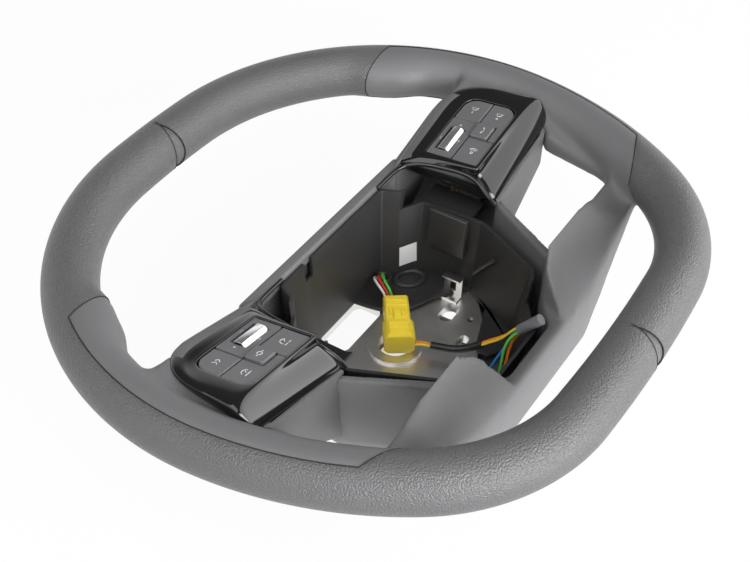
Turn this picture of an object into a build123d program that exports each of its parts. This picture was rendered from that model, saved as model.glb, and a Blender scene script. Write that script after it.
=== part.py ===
"""Car steering wheel with the airbag module taken out.

X points to the driver's right, Y to twelve o'clock and Z towards the driver.
The origin is on the steering axis, at the back face of the hub boss.
All sizes are in millimetres.
"""
from build123d import *
import math
import os

os.makedirs("parts", exist_ok=True)

# Rim: the centre line of the grip is a closed chain of tangent arcs
rim_plane = 100.0
rim_half_width = 169.4
rim_top = 165.8
rim_bottom = 137.6
rim_side_centre = 25.0
rim_top_radius = 600.0
rim_shoulder_radius = 146.0
rim_side_radius = 205.0
rim_corner_radius = 102.0
rim_bottom_radius = 900.0
grip_radius = 15.8
cover_thickness = 1.4
ring_radius = 6.0
layer_gap = 0.05
seam_gap = 0.4
assembly_gap = 0.3

# Soft panel let into the rim at each spoke
panel_crest_offset = 4.0
panel_top_seam = 100.0
panel_low_seam = -72.0
panel_inner_reach = 100.0
panel_low_inner = (112.0, -84.0)
panel_floor = 88.0
panel_ceiling = 125.0
thumb_radius = 17.2
thumb_half_length = 34.0
thumb_angle = 57.0
thumb_shift = 2.6
saddle_floor = 86.0
saddle_rise = 1.2
saddle_low_edge = -64.4
saddle_low_margin = 1.0
saddle_neck_lift = 5.0
saddle_peak_lift = 15.0
saddle_peak_shift = 3.0
saddle_mouth_inset = 4.5
saddle_mouth_lift = 5.5

# Spoke surround: plan of its lower edge, and the two planes it lies between
bezel_hub_top = (67.0, 46.5)
bezel_outer_top = (143.5, 51.0)
bezel_outer_low = (145.5, -16.5)
bezel_hub_low = (79.0, -17.6)
bezel_corner_radii = (4.0, 20.0, 5.0, 3.0)
bezel_wall = 2.2
base_height = 85.5
base_slope_out = 0.215
base_slope_up = 0.13

# Switch pad in its own plane: u runs outwards, v to twelve o'clock, w to the driver
pad_x = 111.0
pad_y = 17.2
pad_z = 105.1
pad_slope_out = 0.178
pad_slope_up = -0.13
pad_hub_edge = -26.0
pad_outer_edge = 27.0
pad_half_height = 17.5
pad_outer_round = 9.0
pad_hub_round = 1.2
bezel_lip = 3.0
bezel_proud = 0.6
bezel_top_round = 8.0
key_gap = 0.35
key_thickness = 3.0
key_travel = 0.8
key_split = 8.0
centre_key_hub = -4.5
centre_key_low = -12.0
centre_key_proud = 1.4
key_round = 0.8
stem_side = 5.0
stem_gap = 0.1
panel_plate = 1.2
panel_skirt = 1.2
roller_middle = -10.6
roller_row = 9.4
roller_depth = 3.6
roller_radius = 5.4
roller_length = 20.0
roller_round = 0.6
trunnion_radius = 1.0
trunnion_length = 1.8
trunnion_gap = 0.04
roller_window_gap = 0.35
cheek = 2.2
cheek_gap = 0.25
cheek_top = -2.1
carrier_floor_gap = 0.6
carrier_floor = 1.4
carrier_half_width = 5.8
case_top = -4.5
case_floor = -12.3
case_margin = 1.5
board_thickness = 1.6
board_margin = 0.6
header_length = 14.0
header_width = 6.0
header_height = 5.0
header_v = -11.0
board_screw_inset = 3.0
board_screw_radius = 1.0
board_screw_length = 6.0
board_screw_head = 2.0
board_screw_head_height = 1.4
screw_hole_gap = 0.1

# Airbag well: outlines of the rear cover at three heights, right half from the top
shell_top_height = 83.5
shell_mid_height = 32.0
shell_back_height = 14.0
shell_wall = 2.5
shell_top_half = ((72.0, 52.0), (90.0, -13.5), (63.0, -64.0), (46.0, -91.0))
shell_mid_half = ((70.0, 51.5), (84.0, -13.5), (60.0, -63.0), (45.0, -90.5))
shell_back_half = ((66.0, 51.0), (73.0, -13.5), (52.0, -58.0), (40.0, -80.0))
shell_corner_radius = 5.0
well_top_half = ((68.0, 47.5), (84.0, -14.0), (58.0, -61.5), (41.0, -69.0), (23.0, -83.0))
well_mid_half = ((67.0, 46.0), (81.0, -14.0), (56.0, -60.5), (40.0, -68.5), (22.5, -82.5))
well_floor_half = ((63.0, 46.2), (69.0, -14.0), (48.5, -55.0), (36.0, -63.0), (21.0, -76.0))
well_ceiling = 130.0
collar_radius = 45.0
collar_wall = 3.0
collar_gap_start = 30.0
collar_gap_turn = 70.0
cable_opening_left = -24.0
cable_opening_right = 44.0
cable_opening_low = 18.0
release_hole_inner = 47.0
release_hole_outer = 62.0
release_hole_low = -14.0
release_hole_high = 2.0
tray_back_x = 80.0
tray_back_z = 34.0
tray_back_slope = 0.70
tray_hub_reach = 58.0
tray_wall = 2.0

# Lower arms: one section along X, a ridge on the driver's side
arm_ridge_y = -65.0
arm_ridge_z = 98.0
arm_outer_y = -90.0
arm_outer_z = 69.0
arm_wall_y = -91.0
arm_back_y = -84.0
arm_back_z = 22.0
arm_root_x = 63.0
arm_reach = 136.0
arm_rim_ridge_y = -65.0
arm_rim_ridge_z = 100.0
arm_rim_outer_y = -84.0
arm_rim_outer_z = 97.0
arm_rim_low_z = 83.0
arm_rim_back_y = -80.0
arm_rim_back_z = 79.0
notch_half_top = 41.0
notch_half_low = 25.0
notch_height = 69.5
notch_margin = 2.0

# Black liner of the well
liner_top = 89.0
liner_side_top = 76.0
liner_step_y = 32.0
liner_wall = 2.0
liner_top_half = (
    (50.5, 44.4), (55.5, 34.1), (71.5, 25.5), (74.7, -14.0), (54.8, -58.9), (40.0, -67.2), (21.9, -83.1)
)
liner_low_half = (
    (48.0, 41.0), (53.0, 31.0), (64.0, 25.0), (66.5, -14.0), (46.0, -52.0), (35.0, -59.0), (20.0, -68.0)
)
liner_low_cut = 62.0
liner_low_cut_y = -62.0
floor_thickness = 2.0
floor_edge_y = 17.0
clip_notch_x = -26.0
clip_notch_width = 7.0
clip_notch_depth = 13.0
wire_slot_x = 43.0
wire_slot_y = 36.0
wire_slot_length = 10.0
wire_slot_width = 5.2

# Trim bar across the top of the well
bar_half_length = 65.6
bar_low_y = 44.6
bar_high_y = 52.0
bar_floor = 83.5
bar_top = 91.6
bar_round = 2.0

# Casting
plate_back = 19.0
plate_top = 25.0
boss_radius = 16.0
boss_top = 27.0
bore_radius = 8.6
bore_length = 18.0
counterbore_radius = 10.0
plate_half = (
    (25.0, 45.5), (31.0, 24.0), (52.0, 20.0), (66.0, 8.0), (66.0, -18.0), (37.0, -40.0), (12.0, -46.0)
)
plate_corner_radius = 3.5
window_half = 21.0
window_low = 21.0
window_high = 39.5
window_round = 5.0
oval_x = 25.6
oval_y = -30.6
oval_length = 10.0
oval_width = 6.0
slot_x = 42.0
slot_y = -12.0
slot_length = 16.0
slot_width = 9.0
spoke_low = 3.5
spoke_high = 18.5
spoke_thickness = 6.0
spoke_bend_x = 64.0
spoke_rise_x = 86.0
spoke_rise_z = 58.0
spoke_outer_x = 140.0
spoke_outer_z = 88.0
spoke_root_x = 48.0
spoke_clearance = 0.5

# Catches for the airbag module
catch_x = 57.0
catch_y = -6.0
catch_width = 12.0
catch_foot = 12.0
catch_thickness = 1.2
catch_height = 16.0
catch_lip = 4.0
catch_slot_width = 4.0
catch_slot_height = 7.0
catch_slot_base = 4.0

# Screws of the rear cover
shell_screw_places = ((50.0, 12.0), (-50.0, 12.0), (44.0, -26.0), (-44.0, -26.0))
shell_screw_radius = 2.0
shell_screw_head_radius = 4.2
shell_screw_head = 2.6
shell_screw_top = 24.0
post_radius = 5.0

# Loose yellow connector, lying on the boss
plug_start = (-5.5, -6.5)
plug_angle = 35.8
socket_length = 15.0
socket_width = 18.0
socket_height = 14.0
plug_length = 22.0
plug_width = 15.0
plug_height = 12.0
plug_round = 1.2
latch_length = 10.0
latch_width = 5.0
latch_height = 1.4

# Wires: radii, then the points of each route, chosen by hand
wire_radius = 0.8
loom_wire_radius = 0.9
sleeve_radius = 2.3
sleeve_bore = 1.75
tape_radius = 3.2
tape_length = 16.0
tape_start = (18.5, -68.5, 60.5)
tape_direction = (2.0, -9.1, 10.5)
bend_share = 0.45
wire_routes = {
    "white_wire": [
        (21.36, 19.53, 33.6), (25.82, 22.75, 33.6), (28.0, 29.0, 36.6), (31.0, 34.4, 37.2),
        (36.4, 36.8, 33.6), (40.8, 37.3, 28.0), (41.7, 37.2, 22.2), (42.0, 37.0, 16.6),
    ],
    "red_wire": [
        (22.41, 18.07, 34.6), (26.87, 21.29, 34.6), (29.2, 27.4, 37.8), (32.6, 32.6, 38.2),
        (37.9, 35.4, 34.8), (42.3, 36.2, 29.2), (43.2, 36.2, 22.9), (43.5, 36.0, 16.6),
    ],
    "green_wire": [
        (23.46, 16.61, 35.4), (27.92, 19.83, 35.4), (30.6, 26.0, 39.0), (34.4, 30.8, 39.2),
        (39.5, 33.9, 35.9), (43.8, 34.9, 30.4), (44.8, 35.0, 23.5), (45.1, 34.8, 16.6),
    ],
    "yellow_wire": [
        (0.58, -13.23, 33.3), (2.28, -15.58, 33.3), (3.6, -18.3, 33.2), (4.6, -21.3, 33.0),
        (6.55, -26.8, 32.8), (8.4, -32.9, 33.2), (10.4, -38.5, 34.6), (12.6, -43.7, 37.4),
        (14.6, -48.5, 41.0), (16.2, -52.4, 43.9), (17.0, -57.0, 47.7), (17.3, -61.0, 52.8),
        (17.55, -64.19, 58.39), (18.19, -67.1, 61.75),
    ],
    "orange_wire": [
        (2.12, -12.12, 33.3), (3.82, -14.47, 33.3), (5.2, -17.4, 33.2), (6.2, -20.7, 33.0),
        (8.15, -26.2, 32.8), (10.0, -32.3, 33.2), (12.0, -37.9, 34.6), (14.2, -43.1, 37.4),
        (16.2, -47.9, 41.0), (17.9, -51.7, 43.9), (19.0, -56.2, 47.4), (19.4, -60.8, 52.0),
        (19.71, -65.17, 57.13), (20.35, -68.08, 60.49),
    ],
    "black_sleeve": [
        (5.2, -20.6, 33.0), (7.35, -26.5, 32.8), (9.2, -32.6, 33.2), (11.2, -38.2, 34.6),
        (13.4, -43.4, 37.4), (15.4, -48.2, 41.0),
    ],
    "blue_wire": [
        (13.4, -54.6, 16.6), (13.5, -54.8, 21.8), (14.2, -55.8, 27.2), (15.3, -57.4, 32.6),
        (16.4, -59.2, 37.8), (17.3, -61.0, 42.8), (17.8, -62.6, 47.8), (17.9, -64.0, 52.6),
        (17.86, -65.58, 57.13), (18.5, -68.49, 60.49),
    ],
    "green_drop_wire": [
        (16.64, -68.9, 60.49), (16.04, -66.18, 57.35), (14.0, -64.2, 53.6), (11.8, -63.6, 49.2),
        (10.0, -63.8, 44.4), (8.7, -64.2, 39.4), (7.9, -64.2, 34.2), (7.5, -63.6, 29.0),
        (7.5, -62.8, 22.8), (7.7, -62.3, 16.6),
    ],
    "orange_drop_wire": [
        (18.8, -69.88, 59.23), (18.2, -67.16, 56.09), (16.6, -65.8, 52.0), (14.4, -65.3, 47.8),
        (12.4, -65.6, 43.4), (11.0, -65.9, 38.4), (10.2, -65.6, 33.2), (9.8, -64.9, 28.0),
        (9.8, -64.1, 22.2), (9.9, -63.7, 16.6),
    ],
}
route_radii = {"black_sleeve": sleeve_radius}
for loom_name in ("blue_wire", "green_drop_wire", "orange_drop_wire"):
    route_radii[loom_name] = loom_wire_radius

# Plain sticker on the liner's short wall
label_width = 12.0
label_height = 14.0
label_thickness = 0.25
label_floor = 34.0
label_depth = 8.0


def rim_joint(centre_a, radius_a, centre_b, radius_b, radius):
    """Centre of an arc that touches two larger arcs from inside, on the right."""
    reach_a = radius_a - radius
    reach_b = radius_b - radius
    span = centre_b - centre_a
    along = (reach_a ** 2 - reach_b ** 2 + span.length ** 2) / (2 * span.length)
    aside = math.sqrt(reach_a ** 2 - along ** 2)
    unit = span.normalized()
    sideways = Vector(-unit.Y, unit.X)
    choices = [centre_a + unit * along + sideways * aside * sign for sign in (1, -1)]
    return max(choices, key=lambda point: point.X)


top_centre = Vector(0, rim_top - rim_top_radius)
side_centre = Vector(rim_half_width - rim_side_radius, rim_side_centre)
bottom_centre = Vector(0, rim_bottom_radius - rim_bottom)
shoulder_centre = rim_joint(
    top_centre, rim_top_radius, side_centre, rim_side_radius, rim_shoulder_radius
)
corner_centre = rim_joint(
    bottom_centre, rim_bottom_radius, side_centre, rim_side_radius, rim_corner_radius
)


def clock(direction):
    """Angle of a direction from twelve o'clock, clockwise, in degrees."""
    return math.degrees(math.atan2(direction.X, direction.Y))


rim_turns = (
    (top_centre, rim_top_radius, clock(shoulder_centre - top_centre)),
    (shoulder_centre, rim_shoulder_radius, clock(shoulder_centre - side_centre)),
    (side_centre, rim_side_radius, clock(corner_centre - side_centre)),
    (corner_centre, rim_corner_radius, clock(corner_centre - bottom_centre)),
    (bottom_centre, rim_bottom_radius, 180.0),
)


def on_arc(centre, radius, angle):
    """Point of an arc at a clock angle."""
    turn = math.radians(angle)
    return centre + Vector(math.sin(turn), math.cos(turn)) * radius


def rim_path(outwards=0.0):
    """Closed line parallel to the grip's centre line, in the rim's plane."""
    right = []
    start = 0.0
    for centre, radius, stop in rim_turns:
        middle = (start + stop) / 2
        right.append([on_arc(centre, radius + outwards, angle) for angle in (start, middle, stop)])
        start = stop
    left = [[Vector(-point.X, point.Y) for point in reversed(arc)] for arc in reversed(right)]
    lift = Vector(0, 0, rim_plane)
    return Wire([ThreePointArc(*[point + lift for point in arc]) for arc in right + left])


def rim_point(angle, outwards=0.0):
    """Point of the grip's centre line at a clock angle of its own arc."""
    for centre, radius, stop in rim_turns:
        if angle <= stop:
            return on_arc(centre, radius + outwards, angle) + Vector(0, 0, rim_plane)
    raise ValueError("the clock angle lies beyond six o'clock")


def ring(radius):
    """Solid round bar along the grip's centre line."""
    path = rim_path()
    section = Plane(origin=path @ 0, z_dir=path % 0) * Circle(radius)
    return sweep(section, path=path)


def rounded_outline(points, radii):
    """Closed outline with straight sides and a round at each corner."""
    count = len(points)
    corners = []
    for index, point in enumerate(points):
        corner = Vector(*point)
        back = (Vector(*points[index - 1]) - corner).normalized()
        ahead = (Vector(*points[(index + 1) % count]) - corner).normalized()
        half = math.radians(back.get_angle(ahead)) / 2
        reach = radii[index] / math.tan(half)
        centre = corner + (back + ahead).normalized() * (radii[index] / math.sin(half))
        middle = centre + (corner - centre).normalized() * radii[index]
        corners.append((corner + back * reach, middle, corner + ahead * reach))
    edges = []
    for index, (start, middle, stop) in enumerate(corners):
        edges.append(ThreePointArc(start, middle, stop))
        edges.append(Line(stop, corners[(index + 1) % count][0]))
    return make_face(edges)


def inset(points, distance):
    """Corner points of an outline moved inwards, for points listed clockwise."""
    count = len(points)
    moved = []
    for index in range(count):
        before = Vector(*points[index - 1])
        corner = Vector(*points[index])
        after = Vector(*points[(index + 1) % count])
        side_a = (corner - before).normalized()
        side_b = (after - corner).normalized()
        inward_a = Vector(side_a.Y, -side_a.X)
        inward_b = Vector(side_b.Y, -side_b.X)
        share = distance / (1 + inward_a.dot(inward_b))
        place = corner + (inward_a + inward_b) * share
        moved.append((place.X, place.Y))
    return moved


def whole(half):
    """Clockwise outline from its right half, mirrored in the YZ plane."""
    return list(half) + [(-x, y) for x, y in reversed(half)]


def layered(levels, radius):
    """Solid through rounded outlines given as pairs of height and corner points."""
    faces = [
        Pos(0, 0, height) * rounded_outline(points, [radius] * len(points))
        for height, points in levels
    ]
    return loft(faces, ruled=True)


def block(x_range, y_range, z_range):
    """Box between three pairs of limits."""
    size = [high - low for low, high in (x_range, y_range, z_range)]
    corner = [low for low, high in (x_range, y_range, z_range)]
    return Pos(*corner) * Box(*size, align=(Align.MIN, Align.MIN, Align.MIN))


def pillar(outline, low, high):
    """Prism on a flat outline between two heights."""
    return extrude(Pos(0, 0, low) * outline, high - low)


def other_side(part):
    """The same piece on the driver's left."""
    return mirror(part, about=Plane.YZ)


def save(name, part):
    """Write one node."""
    part.label = name
    export_step(part, "parts/" + name + ".step")


# Planes of the spoke surround
pad_plane = Plane(
    origin=(pad_x, pad_y, pad_z), x_dir=(1, 0, pad_slope_out), z_dir=(-pad_slope_out, -pad_slope_up, 1)
)


def base_level(x, y):
    """Height of the surround's lower edge."""
    hub_x, hub_y = bezel_hub_low
    return base_height + base_slope_out * (x - hub_x) + base_slope_up * (y - hub_y)


base_plane = Plane(
    origin=(pad_x, pad_y, base_level(pad_x, pad_y)),
    x_dir=(1, 0, base_slope_out),
    z_dir=(-base_slope_out, -base_slope_up, 1),
)
bezel_plan = [bezel_hub_top, bezel_outer_top, bezel_outer_low, bezel_hub_low]


def on_base(points):
    """Plan points dropped on the base plane, in that plane's own axes."""
    local = [base_plane.to_local_coords(Vector(x, y, base_level(x, y))) for x, y in points]
    return [(point.X, point.Y) for point in local]


pad_outline_points = [
    (pad_hub_edge, pad_half_height),
    (pad_outer_edge, pad_half_height),
    (pad_outer_edge, -pad_half_height),
    (pad_hub_edge, -pad_half_height),
]
pad_radii = [pad_hub_round, pad_outer_round, pad_outer_round, pad_hub_round]
pad_outline = rounded_outline(pad_outline_points, pad_radii)


def bezel_body(wall):
    """Surround's outer form, drawn in on all sides by a wall."""
    low = base_plane * rounded_outline(inset(on_base(bezel_plan), wall), bezel_corner_radii)
    rim = inset(pad_outline_points, wall - bezel_lip)
    high_radii = [bezel_lip, bezel_top_round, bezel_top_round, bezel_lip]
    high = pad_plane.offset(bezel_proud - wall) * rounded_outline(rim, high_radii)
    return loft([low, high], ruled=True)


def right_bezel():
    """Gloss surround with the pad's opening, a skirt round it and a hollow back."""
    outside = bezel_body(0.0)
    hollow = split(bezel_body(bezel_wall), bisect_by=base_plane, keep=Keep.TOP)
    skirt_outline = rounded_outline(
        inset(pad_outline_points, -bezel_wall), [bezel_wall, bezel_top_round, bezel_top_round, bezel_wall]
    )
    skirt = pad_plane * pillar(skirt_outline, case_top, bezel_proud)
    below = pad_plane * pillar(skirt_outline, case_floor - board_thickness - header_height, case_top)
    opening = pad_plane * pillar(pad_outline, case_floor, bezel_proud + key_thickness)
    return outside - hollow + (skirt & outside) - below - opening


# Switch cluster
def key_cap(outline, top):
    """Cap of a key with an eased upper edge."""
    cap = pillar(outline, -key_thickness, top)
    return chamfer(cap.faces().sort_by(Axis.Z)[-1].edges(), key_round / 2)


def drawn_in(points):
    """Outline points moved in by half the gap between keys."""
    return inset(points, key_gap)


upper_key_points = [
    (key_split, pad_half_height),
    (pad_outer_edge, pad_half_height),
    (pad_outer_edge, 0.0),
    (key_split, 0.0),
]
lower_key_points = [
    (key_split, 0.0),
    (pad_outer_edge, 0.0),
    (pad_outer_edge, -pad_half_height),
    (centre_key_hub, -pad_half_height),
    (centre_key_hub, centre_key_low),
    (key_split, centre_key_low),
]
centre_key_points = [
    (centre_key_hub, 0.0),
    (key_split, 0.0),
    (key_split, centre_key_low),
    (centre_key_hub, centre_key_low),
]
inner_key_points = [
    (pad_hub_edge, 0.0),
    (centre_key_hub, 0.0),
    (centre_key_hub, -pad_half_height),
    (pad_hub_edge, -pad_half_height),
]
panel_points = [
    (pad_hub_edge, pad_half_height),
    (key_split, pad_half_height),
    (key_split, 0.0),
    (pad_hub_edge, 0.0),
]
outer_round = pad_outer_round - key_gap
key_shapes = {
    "upper_key": (upper_key_points, (key_round, outer_round, key_round, key_round), 0.0),
    "lower_key": (
        lower_key_points,
        (key_round, key_round, outer_round, key_round, key_round, key_round),
        0.0,
    ),
    "centre_key": (centre_key_points, (key_round, key_round, 2 * key_round, 2 * key_round), centre_key_proud),
    "inner_key": (inner_key_points, (key_round, key_round, key_round, key_round), 0.0),
}
key_column = (key_split + pad_outer_edge) / 2
stem_places = {
    "upper_key": (key_column, pad_half_height / 2),
    "lower_key": (key_column, -pad_half_height / 2),
    "centre_key": ((key_split + centre_key_hub) / 2, centre_key_low / 2),
    "inner_key": ((pad_hub_edge + centre_key_hub) / 2, -pad_half_height / 2),
}
stem_foot = case_floor + key_travel + assembly_gap


def key(name):
    """One press key: its cap and the square stem that the case guides."""
    points, radii, top = key_shapes[name]
    cap = key_cap(rounded_outline(drawn_in(points), radii), top)
    stem = Pos(*stem_places[name]) * pillar(Rectangle(stem_side, stem_side), stem_foot, -key_thickness)
    return pad_plane * (cap + stem)


roller_half = roller_length / 2
window_half_width = math.sqrt(roller_radius ** 2 - (roller_depth - panel_plate) ** 2) + roller_window_gap


def roller_panel():
    """Fixed panel with the roller's window, standing on the case by its skirt."""
    outline = rounded_outline(drawn_in(panel_points), [key_round] * len(panel_points))
    inside = rounded_outline(inset(panel_points, key_gap + panel_skirt), [key_round / 2] * len(panel_points))
    plate = pillar(outline, case_top, 0.0) - pillar(inside, case_top, -panel_plate)
    window_length = roller_length + 2 * roller_window_gap
    window = Pos(roller_middle, roller_row) * Rectangle(window_length, 2 * window_half_width)
    return pad_plane * (plate - pillar(window, case_top, key_thickness))


def roller():
    """Thumb roller with a trunnion at each end."""
    drum = Cylinder(roller_radius, roller_length)
    drum = chamfer(drum.edges(), roller_round)
    shaft = Cylinder(trunnion_radius, roller_length + 2 * trunnion_length)
    return pad_plane * Pos(roller_middle, roller_row, -roller_depth) * Rot(0, 90, 0) * (drum + shaft)


carrier_half = roller_half + cheek_gap + cheek
carrier_top_of_floor = -roller_depth - roller_radius - carrier_floor_gap
carrier_bottom = carrier_top_of_floor - carrier_floor


def roller_carrier():
    """Fork under the roller: a floor and two cheeks that hold the trunnions."""
    length = (roller_middle - carrier_half, roller_middle + carrier_half)
    width = (roller_row - carrier_half_width, roller_row + carrier_half_width)
    body = block(length, width, (carrier_bottom, cheek_top))
    room = (roller_middle - roller_half - cheek_gap, roller_middle + roller_half + cheek_gap)
    body -= block(room, width, (carrier_top_of_floor, cheek_top))
    bore = Cylinder(trunnion_radius + trunnion_gap, 2 * carrier_half)
    body -= Pos(roller_middle, roller_row, -roller_depth) * Rot(0, 90, 0) * bore
    return pad_plane * body


case_points = inset(pad_outline_points, -case_margin)
case_radii = [case_margin, pad_outer_round, pad_outer_round, case_margin]
screw_points = inset(pad_outline_points, board_screw_inset - case_margin)
outer_screw_pull = pad_outer_round / 2
screw_places = [
    screw_points[0],
    (screw_points[1][0] - outer_screw_pull, screw_points[1][1]),
    (screw_points[2][0] - outer_screw_pull, screw_points[2][1]),
    screw_points[3],
]


def screw_holes(radius, low, high):
    """Row of upright cylinders at the board's screws."""
    return [Pos(*place) * pillar(Circle(radius), low, high) for place in screw_places]


def switch_case():
    """Guide block: square guides for the key stems and a pocket for the carrier."""
    body = pillar(rounded_outline(case_points, case_radii), case_floor, case_top)
    guide_side = stem_side + 2 * stem_gap
    for place in stem_places.values():
        body -= Pos(*place) * pillar(Rectangle(guide_side, guide_side), case_floor, case_top)
    pocket = Rectangle(2 * (carrier_half + stem_gap), 2 * (carrier_half_width + stem_gap))
    body -= Pos(roller_middle, roller_row) * pillar(pocket, case_floor, case_top)
    depth = case_floor + board_screw_length - board_thickness + assembly_gap
    for hole in screw_holes(board_screw_radius + screw_hole_gap, case_floor, depth):
        body -= hole
    return pad_plane * body


board_back = case_floor - board_thickness


def switch_board():
    """Circuit board with its header on the back."""
    points = inset(case_points, board_margin)
    radii = [case_margin, pad_outer_round, pad_outer_round, case_margin]
    body = pillar(rounded_outline(points, radii), board_back, case_floor)
    for hole in screw_holes(board_screw_radius + screw_hole_gap, board_back, case_floor):
        body -= hole
    header_u = pad_hub_edge + header_length / 2 + assembly_gap
    header = Pos(header_u, header_v) * pillar(
        Rectangle(header_length, header_width), board_back - header_height, board_back
    )
    mouth = Pos(header_u - panel_skirt, header_v) * pillar(
        Rectangle(header_length, header_width - 2 * panel_skirt),
        board_back - header_height + panel_skirt,
        board_back - panel_skirt,
    )
    return pad_plane * (body + header - mouth)


def board_screws():
    """Screws from the back of the board into the case."""
    shanks = screw_holes(board_screw_radius, board_back, board_back + board_screw_length)
    heads = screw_holes(board_screw_head, board_back - board_screw_head_height, board_back)
    return [pad_plane * (shank + head) for shank, head in zip(shanks, heads)]


# Rim
foam_radius = grip_radius - cover_thickness


def thumb_swelling():
    """Right thumb rest: a long round swelling that lies along the rim."""
    half = split(Ellipse(thumb_half_length, thumb_radius), bisect_by=Plane.XZ, keep=Keep.TOP)
    return Pos(*rim_point(thumb_angle, -thumb_shift)) * Rot(0, 0, -thumb_angle) * revolve(half, axis=Axis.X)


thumb_rest = thumb_swelling()
outer_tube = ring(grip_radius) + thumb_rest + other_side(thumb_rest)
foam_room = ring(foam_radius + layer_gap)


def spoke_bar(margin):
    """Right arm of the casting, thickened by a margin all round."""
    level = (plate_back + plate_top) / 2
    half = spoke_thickness / 2 + margin
    middle = [
        (spoke_root_x, level),
        (spoke_bend_x, level),
        (spoke_rise_x, spoke_rise_z),
        (spoke_outer_x, spoke_outer_z),
        (rim_half_width, rim_plane),
    ]
    outline = Plane.XZ * make_face(offset(Polyline(*middle), half, kind=Kind.INTERSECTION).edges())
    width = spoke_high - spoke_low + 2 * margin
    return extrude(Pos(0, spoke_low - margin, 0) * outline, width, dir=(0, 1, 0))


spoke_room = spoke_bar(spoke_clearance)
both_spoke_rooms = [spoke_room, other_side(spoke_room)]


def panel_outline(gap):
    """Plan of the soft panel's part of the rim, drawn in by a gap."""
    crest_top = Vector(rim_crossing(panel_top_seam) + panel_crest_offset - gap, panel_top_seam - gap)
    crest_low = Vector(rim_crossing(panel_low_seam) + panel_crest_offset - gap, panel_low_seam + gap)
    crest_side = Vector(rim_half_width + panel_crest_offset - gap, rim_side_centre)
    inner_x, inner_y = panel_low_inner
    edges = [
        ThreePointArc(crest_top, crest_side, crest_low),
        Line(crest_low, (inner_x, inner_y + gap)),
        Line((inner_x, inner_y + gap), (panel_inner_reach, inner_y + gap)),
        Line((panel_inner_reach, inner_y + gap), (panel_inner_reach, panel_top_seam - gap)),
        Line((panel_inner_reach, panel_top_seam - gap), crest_top),
    ]
    return make_face(edges)


def rim_crossing(height):
    """Right-hand x of the grip's centre line at a height above the axis."""
    for centre, radius, stop in rim_turns:
        if on_arc(centre, radius, stop).Y <= height:
            return centre.X + math.sqrt(radius ** 2 - (height - centre.Y) ** 2)
    raise ValueError("the height lies below the rim")


panel_room = pillar(panel_outline(0.0), panel_floor, panel_ceiling)
panel_zone = pillar(panel_outline(seam_gap), panel_floor + seam_gap, panel_ceiling)


def leather_sleeve():
    """Leather round the rim, cut away where the soft panels lie."""
    sleeve = outer_tube - foam_room
    for room in [panel_room, other_side(panel_room)] + both_spoke_rooms:
        sleeve -= room
    return sleeve


def leather_length(sleeve, x_range, y_range):
    """One sewn length of the leather."""
    depth = 2 * grip_radius
    return sleeve & block(x_range, y_range, (rim_plane - depth, rim_plane + depth))


rim_reach = rim_half_width + 2 * grip_radius
leather = leather_sleeve()
top_leather = leather_length(leather, (layer_gap, rim_reach), (panel_top_seam, rim_reach))
side_leather = leather_length(leather, (0, rim_reach), (panel_low_seam, panel_top_seam - layer_gap))
low_leather = leather_length(leather, (layer_gap, rim_reach), (-rim_reach, panel_low_seam - layer_gap))


def rim_foam():
    """Foam round the casting's ring."""
    body = ring(foam_radius) - ring(ring_radius + layer_gap)
    for room in both_spoke_rooms:
        body -= room
    return body


def right_spoke_cover():
    """Soft panel: part of the rim's skin with its thumb rest, and the saddle to the surround."""
    skin = outer_tube & panel_zone
    outer_x, outer_y = bezel_outer_top
    low_x, low_y = bezel_outer_low
    peak = outer_y + saddle_peak_lift
    low_reach = rim_crossing(saddle_low_edge)
    saddle_points = [
        (outer_x - bezel_corner_radii[1], outer_y),
        (outer_x, outer_y + saddle_neck_lift),
        (outer_x + saddle_peak_shift, peak),
        (rim_crossing(peak), peak),
        (rim_crossing(rim_side_centre), rim_side_centre),
        (low_reach, saddle_low_edge),
        (low_reach - grip_radius - saddle_low_margin, saddle_low_edge),
        (low_x - saddle_mouth_inset, low_y + saddle_mouth_lift),
    ]
    saddle = pillar(make_face(Polyline(*saddle_points, close=True)), saddle_floor, panel_ceiling)
    saddle = split(saddle, bisect_by=base_plane.offset(saddle_rise), keep=Keep.BOTTOM)
    around = rounded_outline(inset(bezel_plan, -assembly_gap), bezel_corner_radii)
    saddle -= pillar(around, saddle_floor, panel_ceiling)
    body = skin + (saddle - outer_tube)
    return body - foam_room - spoke_room


# Rear cover
def well_solid():
    """Hollow of the well, from its floor to above the rim."""
    floor = shell_back_height + shell_wall
    levels = [(floor, whole(well_floor_half)), (shell_mid_height, whole(well_mid_half))]
    levels += [(shell_top_height, whole(well_top_half)), (well_ceiling, whole(well_top_half))]
    return layered(levels, shell_wall)


def tray(points, lift):
    """Spoke tray's form above the slanting back and below the surround."""
    form = pillar(rounded_outline(points, bezel_corner_radii), shell_mid_height, well_ceiling)
    back = Plane(
        origin=(tray_back_x, 0, tray_back_z + lift),
        x_dir=(1, 0, tray_back_slope),
        z_dir=(-tray_back_slope, 0, 1),
    )
    return split(form, bisect_by=back, keep=Keep.TOP)


def tray_hollow():
    """Room inside the right spoke tray, open towards the well and the driver."""
    points = inset(bezel_plan, tray_wall)
    points[0] = (tray_hub_reach, points[0][1])
    points[3] = (tray_hub_reach, points[3][1])
    return tray(points, shell_wall)


def bucket_form():
    """Outer form of the rear cover, without its collar."""
    levels = [
        (shell_back_height, whole(shell_back_half)),
        (shell_mid_height, whole(shell_mid_half)),
        (shell_top_height, whole(shell_top_half)),
    ]
    return layered(levels, shell_corner_radius)


bucket = bucket_form()
well = well_solid()
right_hollow = tray_hollow()
rim_room = ring(grip_radius + assembly_gap)


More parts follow.
